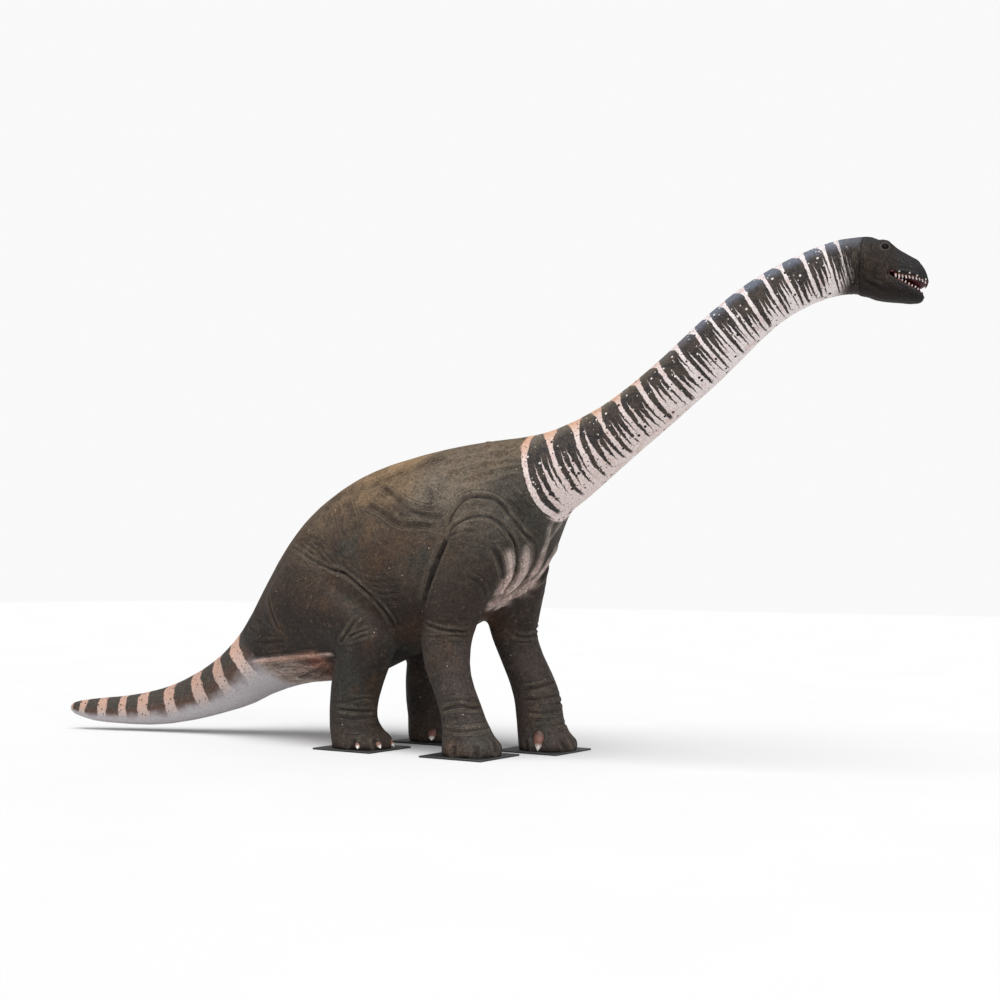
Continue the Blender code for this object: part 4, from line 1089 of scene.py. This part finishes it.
def steel_paint(name, colour, worn, scratched):
    """Dark flat steel, cloudy and scratched."""
    paint = Paint(name)
    cloud = paint.noise(7.0, 5.0, roughness=0.65)
    scratch = paint.noise(34.0, 4.0, (1.0, 9.0, 1.0), 0.7)
    crossing = paint.noise(30.0, 4.0, (8.0, 1.0, 1.0), 0.7)
    marks = largest(paint.step(0.62, 0.70, scratch), paint.step(0.64, 0.72, crossing))
    tone = paint.mix(paint.step(0.38, 0.66, cloud), colour, worn)
    tone = paint.mix(marks * scratched, tone, shade(122, 122, 124))
    return paint.finish(base_color=tone, roughness=0.42 + 0.25 * cloud, metallic=0.45,
                        normal=paint.relief(0.25, 0.001, cloud + scratch))


def floor_paint():
    """Pale matt studio floor."""
    paint = Paint("floor_pale")
    cloud = paint.noise(0.6, 3.0)
    tone = paint.mix(cloud, (0.64, 0.64, 0.64), (0.67, 0.67, 0.67))
    return paint.finish(base_color=tone, roughness=0.9, specular_ior_level=0.0)


# Skin of the body
def finish(piece, slot, material, *nodes):
    """Gives a piece its paint and its place in the frame."""
    if material:
        piece.data.materials.clear()
        piece.data.materials.append(material)
    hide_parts(*nodes)
    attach(piece, "root")


def even_out(obj, rounds):
    """Takes the solids' facets away and keeps the size."""
    for _ in range(rounds):
        apply(obj, "SMOOTH", factor=0.5, iterations=5)
        apply(obj, "SMOOTH", factor=-0.52, iterations=4)


def mark_spine(skin):
    points = places(skin)
    run, around = round_spine(points)
    around = np.abs(around)
    height = points[:, 2]
    keep(skin, "around", around)
    band = stripe_band(points)
    keep(skin, "band", band)
    tail_places = -np.array(TAIL_BANDS)
    tail_band = np.interp(-run, tail_places, np.arange(len(TAIL_BANDS)))
    ahead = -run < tail_places[0]
    tail_band = np.where(ahead, (-run - tail_places[0]) / (tail_places[1] - tail_places[0]), tail_band)
    keep(skin, "tail_band", tail_band)
    keep(skin, "rise", smooth_step(0.5, 3.0, run))
    keep(skin, "neck", smooth_step(-0.16, -0.11, band + 0.02 * np.sin(height * 40)) * (height > 1.3))
    below = 1.1 * smooth_step(0.60, 0.95, around)
    keep(skin, "nape", smooth_step(len(NECK_STRIPES) - 1.4, len(NECK_STRIPES) - 0.2, band + below))
    keep(skin, "tail", smooth_step(2.52, 2.61, -run))
    keep(skin, "fore", smooth_step(-0.90, -0.50, points[:, 0]))
    trunk = smooth_step(-2.2, -1.9, run) * (1 - smooth_step(0.05, 0.30, run))
    keep(skin, "belly", smooth_step(0.58, 0.78, around) * smooth_step(0.85, 1.10, height) * trunk)
    between_legs = smooth_step(-2.2, -1.9, run) * (1 - smooth_step(-0.60, -0.30, run))
    keep(skin, "lowest", smooth_step(0.76, 0.90, around) * smooth_step(0.85, 1.10, height) * between_legs)
    tail_root = smooth_step(1.70, 2.00, -run) * (1 - smooth_step(2.65, 2.85, -run))
    edge, _ = Surface(skin).from_picture(ROOT_EDGE)
    edge = edge[np.argsort(edge[:, 0])]
    above = height - np.interp(points[:, 0], edge[:, 0], edge[:, 2])
    behind_legs = smooth_step(1.50, 1.66, -points[:, 0])
    below_edge = smooth_step(0.015, -0.030, above) * smooth_step(0.32, 0.46, around)
    keep(skin, "root", tail_root * behind_legs * below_edge)
    keep(skin, "root_end", smooth_step(2.02, 2.48, -run))
    before_neck = smooth_step(-0.10, 0.20, points[:, 0]) * (height > 1.6)
    keep(skin, "collar", before_neck * smooth_step(0.24, 0.40, around))
    keep(skin, "seam", seam_line(points) * (points[:, 0] > HEAD_END))


def seam_gap(points):
    """How far ahead of the head's seam each point lies."""
    forward, _, height = to_head(points).T
    return forward * math.cos(SEAM_TILT) - (height - SEAM_MIDDLE) * math.sin(SEAM_TILT)


def seam_line(points):
    """The dark line of the head's seam, which fades under the throat."""
    height = points[:, 2]
    width = SEAM_WIDTH * (0.8 + 0.35 * np.sin(height * 31) + 0.25 * np.sin(height * 83))
    shown = 0.15 + 0.85 * smooth_step(3.74, 3.86, height) * (1 - 0.6 * smooth_step(4.06, 4.13, height))
    return np.exp(-(seam_gap(points) / np.maximum(width, 0.002)) ** 2) * shown


def across_spine(x, lean):
    """A point and the forward direction of a cut across the trunk."""
    middle = spine_points(np.array([x - 0.01, x, x + 0.01]))
    way = middle[2] - middle[0]
    turn = math.atan2(way[1], way[0])
    lean = math.radians(lean)
    facing = (math.cos(lean) * math.cos(turn), math.cos(lean) * math.sin(turn), -math.sin(lean))
    return middle[1], facing


def across_seam():
    """A point and the forward direction of the head's seam."""
    ends = from_head(np.array([[0.0, 0.0, SEAM_MIDDLE],
                               [math.cos(SEAM_TILT), 0.0, SEAM_MIDDLE - math.sin(SEAM_TILT)]]))
    return ends[0], tuple(ends[1] - ends[0])


def skin_length(skin, name, cuts):
    """A closed copy of the skin ahead of a cut, or behind it."""
    piece = copied(name, skin)
    for (middle, facing), ahead in cuts:
        edit_whole(piece, bpy.ops.mesh.bisect, plane_co=middle + SHIFT, plane_no=facing, use_fill=True,
                   clear_inner=ahead, clear_outer=not ahead)
    bpy.ops.object.shade_smooth_by_angle(angle=BODY_CREASE_ANGLE)
    return piece


def groove_seam(skin):
    """Presses the seam between head and neck into a skin."""
    points = places(skin)
    pressed = SEAM_DEPTH * seam_line(points) * (points[:, 0] > HEAD_END)
    move_to(skin, points - normals(skin) * pressed[:, None])


def draw_to_head(skin, head):
    """Draws the neck's end onto the finer skin of the head, so that both meet at the seam."""
    points = places(skin)
    gap = np.abs(seam_gap(points))
    near = np.flatnonzero((gap < SEAM_BLEND) & (points[:, 0] > HEAD_END))
    share = smooth_step(SEAM_BLEND, 0.3 * SEAM_BLEND, gap[near])
    spots = np.array([head.tree.find_nearest(Vector(point))[0] for point in points[near]])
    points[near] += (spots - points[near]) * share[:, None]
    move_to(skin, points)


def dress_body(head):
    """The body's skin, shaped and painted whole and then cut into four closed lengths."""
    skin = copies("whole_skin", *BODY_NODES)
    apply(skin, "REMESH", mode="VOXEL", voxel_size=BODY_VOXEL, use_smooth_shade=True)
    even_out(skin, 4)
    draw_to_head(skin, head)
    mark_spine(skin)
    fold_skin(skin, BODY_FOLDS, FINE_REACH)
    groove_seam(skin)
    paint = skin_paint()
    neck = across_spine(*NECK_CUT)
    middle = across_spine(*TRUNK_CUT)
    tail = across_spine(*TAIL_CUT)
    for name, cuts, nodes in (
            ("neck_skin", ((neck, True), (across_seam(), False)), NECK_NODES),
            ("forequarter_skin", ((neck, False), (middle, True)), FORE_NODES),
            ("hindquarter_skin", ((middle, False), (tail, True)), HIND_NODES),
            ("tail_skin", ((tail, False),), TAIL_NODES)):
        finish(skin_length(skin, name, cuts), "skin", paint, *nodes)
    bpy.data.objects.remove(skin, do_unlink=True)


# Head
def solid_mouth(forward):
    """Heights of the solid's upper and lower lip, and its half widths at both, at these places forward."""
    stations, *measures = np.array(MOUTH).T
    return [np.interp(forward, stations, measure) for measure in measures]


def mouth_at(forward):
    """The same for the skin, whose upper lip hangs lower."""
    top, bottom, half_upper, half_lower = solid_mouth(forward)
    return top - np.interp(forward, *zip(*LIP_DROP)), bottom, half_upper, half_lower


def smooth_parts(head, parts, iterations):
    """Smooths some vertices of the head, each part of them by its own share."""
    group = head.vertex_groups.new(name="smoothed")
    for chosen, share in parts:
        group.add([int(number) for number in np.flatnonzero(chosen)], share, "REPLACE")
    apply(head, "SMOOTH", factor=0.5, iterations=iterations, vertex_group="smoothed")
    head.vertex_groups.clear()


def smooth_mouth(head):
    """Melts the solid's coarse teeth into the gums."""
    forward, _, height = to_head(places(head)).T
    top, bottom, _, _ = solid_mouth(forward)
    between = (height < top + TEETH_MELT) & (height > bottom - TEETH_MELT) & (forward > MOUTH_CORNER)
    smooth_parts(head, [(between, 1.0)], 40)


def hang_lip(head):
    """Lowers the upper lip, and what lies above it less and less."""
    own = to_head(places(head))
    forward, _, height = own.T
    top, bottom, _, _ = solid_mouth(forward)
    share = smooth_step(-0.008, 0.004, height - (top + bottom) / 2)
    share = share * (1 - smooth_step(*LIP_FOLLOWS, height - top))
    own[:, 2] -= np.interp(forward, *zip(*LIP_DROP)) * share
    move_to(head, from_head(own))


def soften_seam(head):
    """Takes away the step where head and neck were parted."""
    gap = np.abs(seam_gap(places(head)))
    parts = [(gap < np.interp(share, (0, 1), SEAM_SOFTENING), share) for share in (0.25, 0.5, 0.75, 1.0)]
    smooth_parts(head, parts, 120)


def mark_head(head):
    """Where the mouth, gums, lids, muzzle and seam lie, for the paint."""
    points = places(head)
    forward, sideways, height = to_head(points).T
    top, bottom, half_upper, half_lower = mouth_at(forward)
    share = np.clip((height - bottom) / np.maximum(top - bottom, 0.004), 0, 1)
    half = (1 - share) * half_lower + share * half_upper
    end = GUM_ENDS[0] + share * (GUM_ENDS[1] - GUM_ENDS[0])
    inward = np.minimum(half - 0.60 * LIP - np.abs(sideways), end - forward)
    level = smooth_step(-0.034, -0.026, height - bottom) * (1 - smooth_step(0.040, 0.048, height - top))
    inside = level * smooth_step(MOUTH_CORNER - 0.025, MOUTH_CORNER, forward)
    keep(head, "gum", inside * smooth_step(-0.003, 0.003, inward))
    keep(head, "mouth", inside * smooth_step(0.008, 0.022, inward))
    keep(head, "snout", smooth_step(0.20, 0.32, forward))
    keep(head, "crown", smooth_step(4.00, 4.08, height))
    keep(head, "throat", smooth_step(3.76, 3.68, height + 0.2 * (forward - 0.2)))
    keep(head, "seam", seam_line(points))


def shape_face(head, eyes):
    """Raises the eyelids, sinks the nostrils and sets pale specks along the upper lip."""
    points = places(head)
    facings = normals(head)
    lid = np.zeros(len(points))
    socket = np.zeros(len(points))
    for eye in eyes:
        away = np.linalg.norm(points - eye, axis=1)
        lid = np.maximum(lid, np.exp(-((away - LID_REACH) / LID_WIDTH) ** 2))
        socket = np.maximum(socket, smooth_step(LID_REACH - 0.004, LID_REACH - 0.009, away))
    shift = LID_HEIGHT * lid
    rim_radius, rim_width, rim_height = NOSTRIL_RIM
    for nostril in from_head(np.array([NOSTRIL, NOSTRIL]) * ((1, -1, 1), (1, 1, 1))):
        away = np.linalg.norm((points - nostril) * (0.75, 1.0, 1.3), axis=1)
        pit = np.exp(-(away / NOSTRIL_WIDTH) ** 2)
        rim = np.exp(-((away - rim_radius) / rim_width) ** 2)
        shift = shift - NOSTRIL_DEPTH * pit + rim_height * rim
        # Painted shade darkens the nostril pits
        socket = np.maximum(socket, 0.8 * pit)
    specks = np.zeros(len(points))
    line, _ = Surface(head).from_picture(LIP_SPECKS)
    line = line[::10]
    for place in np.vstack([line, from_head(to_head(line) * (1, -1, 1))]):
        specks = np.maximum(specks, smooth_step(*SPECK_SIZE, np.linalg.norm(points - place, axis=1)))
    keep(head, "lid", lid * 0.15)
    keep(head, "socket", socket)
    keep(head, "speck", specks)
    move_to(head, points + facings * (shift + SPECK_HEIGHT * specks)[:, None])


def eyeball(node):
    """A smooth eye in place of the solid's coarse one."""
    low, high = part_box(node)
    middle = (low + high) / 2
    eye = added(node + "_gloss", bpy.ops.mesh.primitive_uv_sphere_add, segments=32, ring_count=20,
                radius=EYE_RADIUS, location=middle)
    bpy.ops.object.shade_smooth()
    finish(eye, "eye", EYE, node)
    return np.array(middle) - SHIFT


def tooth_shape():
    """A blunt peg that stands on its root at the origin and points up, in metres."""
    peg = added("tooth_shape", bpy.ops.mesh.primitive_cylinder_add, vertices=10, radius=TOOTH_RADIUS,
                depth=TOOTH_LENGTH, location=(0, 0, 0.3 * TOOTH_LENGTH))
    edit_whole(peg, bpy.ops.mesh.bevel, offset=0.004, segments=3, affect="EDGES")
    points = corners(peg)
    share = np.clip(points[:, 2] / (0.8 * TOOTH_LENGTH), 0, 1)
    points[:, :2] *= (1 - 0.52 * share ** 1.6)[:, None]
    points[:, 0] += 0.003 * share ** 2
    set_corners(peg, points)
    keep(peg, "tip", share)
    bpy.ops.object.shade_smooth()
    return peg


def tooth_spots(end, upper):
    """Roots of one row, along the right lip and then the left, in the head's own plane."""
    walk = np.linspace(TEETH_START, end, 200)
    side = mouth_at(walk)[2 if upper else 3] - (0.95 if upper else 0.80) * LIP
    run = np.concatenate([[0], np.cumsum(np.hypot(np.diff(walk), np.diff(side)))])
    spots = np.linspace(0, run[-1], round(run[-1] / TOOTH_SPACING) + 1)
    forward = np.interp(spots, run, walk)
    sideways = np.maximum(np.interp(spots, run, side), 0.006)
    right = np.stack([forward, -sideways, mouth_at(forward)[0 if upper else 1]], 1)
    return np.vstack([right, right * (1, -1, 1)])


def tooth_row(name, shape, end, upper):
    """One row of pegs round the lip, each a copy of the one shape, leaning a little outward."""
    pegs = []
    rise = -1 if upper else 1
    full_size = UPPER_TOOTH_SIZE if upper else LOWER_TOOTH_SIZE
    for number, spot in enumerate(tooth_spots(end, upper)):
        root = from_head(spot[None])[0]
        outer = from_head((spot + (0.3 * (spot[0] - 0.2), 0.3 * spot[1], 0.0))[None])[0] - root
        outward = Vector(outer).normalized()
        up = (Vector((0, 0, rise)) + outward * TOOTH_LEAN).normalized()
        side = up.cross(outward).normalized()
        size = full_size * (1 + 0.08 * math.sin(number * 2.4))
        turn = Matrix((side.cross(up), side, up)).transposed().to_4x4()
        sunk = Vector(root + SHIFT) - up * TOOTH_SINK
        peg = copied(name, shape)
        peg.data.transform(Matrix.Translation(sunk) @ turn @ Matrix.Scale(size, 4))
        pegs.append(peg)
    finish(joined(name, pegs), "tooth", TOOTH)


def mouth_pad(rows, upper):
    """A closed soft pad within the jaws, from a sphere drawn out along the mouth."""
    pad = added("mouth_pad", bpy.ops.mesh.primitive_uv_sphere_add, segments=40, ring_count=24, radius=1.0,
                rotation=(0, math.pi / 2, 0))
    x, y, z = corners(pad).T
    wide = np.maximum(np.sqrt(np.maximum(1 - x * x, 0)), 0.001)
    blunt = np.minimum(wide * 1.5, 1.0)
    stations, middle, thick = np.array(rows).T
    forward = stations[0] + (stations[-1] - stations[0]) * (x + 1) / 2
    top, bottom, half_upper, half_lower = mouth_at(forward)
    half = half_upper - ROOF_INSET if upper else half_lower - FLOOR_INSET
    sideways = y / wide * np.maximum(half, 0.006) * blunt
    height = (top if upper else bottom) + np.interp(forward, stations, middle)
    height = height + z / wide * np.interp(forward, stations, thick) * blunt
    move_to(pad, from_head(np.stack([forward, sideways, height], 1)))
    edit_whole(pad, bpy.ops.mesh.normals_make_consistent, inside=False)
    bpy.ops.object.shade_smooth()
    return pad


def dress_mouth():
    """The dark red roof and floor of the mouth."""
    pads = [mouth_pad(MOUTH_ROOF, True), mouth_pad(MOUTH_FLOOR, False)]
    finish(joined("mouth_lining", pads), "skin", mouth_paint())


def shape_head():
    """The whole head with the neck behind it, in one fine skin."""
    whole = copies("whole_head", *HEAD_NODES, "neck_upper")
    apply(whole, "REMESH", mode="VOXEL", voxel_size=HEAD_VOXEL, use_smooth_shade=True)
    smooth_mouth(whole)
    hang_lip(whole)
    even_out(whole, 5)
    soften_seam(whole)
    return whole


def dress_head(whole):
    """The head's folds, eyes, skin, mouth and teeth."""
    mark_head(whole)
    fold_skin(whole, HEAD_FOLDS)
    shape_face(whole, [eyeball("eye_right"), eyeball("eye_left")])
    groove_seam(whole)
    piece = skin_length(whole, "head_skin", ((across_seam(), True),))
    finish(piece, "skin", head_paint(), *HEAD_NODES)
    bpy.data.objects.remove(whole, do_unlink=True)
    dress_mouth()
    shape = tooth_shape()
    tooth_row("upper_teeth", shape, UPPER_TEETH_END, True)
    tooth_row("lower_teeth", shape, LOWER_TEETH_END, False)
    bpy.data.objects.remove(shape, do_unlink=True)


# Claws
def dress_claw(node):
    """The solid's blunt claw made round, with a mark of how near its tip each point lies."""
    horn = copies(node + "_horn", node)
    apply(horn, "SUBSURF", levels=2, render_levels=2)
    points = places(horn)
    offset = points - points.mean(0)
    axis = np.linalg.eigh(offset.T @ offset)[1][:, -1]
    reach = offset @ (axis * -np.sign(axis[2]))
    keep(horn, "tip", (reach - reach.min()) / np.ptp(reach))
    # It grows from its tip, and the small hind ones stand a little further out of the foot
    tip = points[reach.argmax()]
    leg = "hind" if "hind" in node else "fore"
    side = "right" if "right" in node else "left"
    low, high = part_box("stand_plate_" + leg + "_" + side)
    outward = points.mean(0) - (np.array((low + high) / 2) - SHIFT)
    outward[2] = 0
    out = HIND_CLAW_OUT if leg == "hind" else 0.0
    move_to(horn, tip + (points - tip) * CLAW_GROWTH + outward / np.linalg.norm(outward) * out)
    bpy.ops.object.shade_smooth()
    finish(horn, "claw", CLAW, node)


# Base plates
def dress_plate(node):
    """A flat steel plate with rounded, worn edges."""
    low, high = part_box(node)
    plate = added(node + "_steel", bpy.ops.mesh.primitive_cube_add, size=1.0, location=(low + high) / 2,
                  scale=high - low)
    plate.data.materials.append(STEEL)
    plate.data.materials.append(WORN_STEEL)
    edit_whole(plate, bpy.ops.mesh.bevel, offset=PLATE_EDGE, segments=3, affect="EDGES", material=1)
    bpy.ops.object.shade_smooth_by_angle(angle=PLATE_CREASE_ANGLE)
    finish(plate, "plate", None, node)


EYE = eye_paint()
TOOTH = tooth_paint()
CLAW = claw_paint()
STEEL = steel_paint("plate_steel", shade(40, 40, 42), shade(58, 57, 57), 0.35)
WORN_STEEL = steel_paint("plate_edge", shade(104, 103, 102), shade(66, 65, 65), 0.8)
fine_head = shape_head()
dress_body(Surface(fine_head))
dress_head(fine_head)
for part in frame["record"]["subparts"]:
    if part["material_slot"] == "claw":
        dress_claw(part["node"])
    if part["material_slot"] == "plate":
        dress_plate(part["node"])


# Floor, light and camera
def stage():
    """A pale floor under an even white sky, with a high lamp and a weak one ahead."""
    floor = added("floor", bpy.ops.mesh.primitive_grid_add, x_subdivisions=2, y_subdivisions=2,
                  size=FLOOR_SIZE, location=(0, 0, 0))
    floor.data.materials.append(floor_paint())
    world = bpy.data.worlds.new("pale_studio")
    bpy.context.scene.world = world
    world.use_nodes = True
    nodes = world.node_tree.nodes
    links = world.node_tree.links
    seen = nodes.new("ShaderNodeLightPath")
    strength = nodes.new("ShaderNodeMapRange")
    strength.inputs["To Min"].default_value = SKY_LIGHT
    strength.inputs["To Max"].default_value = BACKDROP
    links.new(seen.outputs["Is Camera Ray"], strength.inputs["Value"])
    links.new(strength.outputs["Result"], nodes["Background"].inputs["Strength"])
    nodes["Background"].inputs["Color"].default_value = (1.0, 1.0, 1.0, 1.0)
    bpy.context.scene.view_settings.view_transform = "Standard"
    soft_lamp("overhead", *OVERHEAD)
    soft_lamp("front_fill", *FRONT_FILL)


def soft_lamp(name, direction, strength, softness):
    deselect()
    bpy.ops.object.light_add(type="SUN", location=(0, 0, LAMP_HEIGHT))
    lamp = bpy.context.active_object
    lamp.name = name
    lamp.data.energy = strength
    lamp.data.angle = softness
    lamp.rotation_euler = Vector(direction).to_track_quat("Z", "Y").to_euler()


def photo_camera():
    """A camera where the picture was taken from."""
    data = bpy.data.cameras.new("photo_camera")
    data.sensor_width = SENSOR
    data.lens = SENSOR * FOCAL_PIXELS / PICTURE
    data.clip_end = VIEW_LIMIT
    camera = bpy.data.objects.new("photo_camera", data)
    bpy.context.scene.collection.objects.link(camera)
    right, up, ahead = camera_axes()
    turned = Matrix((Vector(right), Vector(up), Vector(-ahead))).transposed().to_4x4()
    camera.matrix_world = Matrix.Translation(Vector(CAMERA_PLACE) + Vector(SHIFT)) @ turned
    bpy.context.scene.camera = camera


stage()
photo_camera()
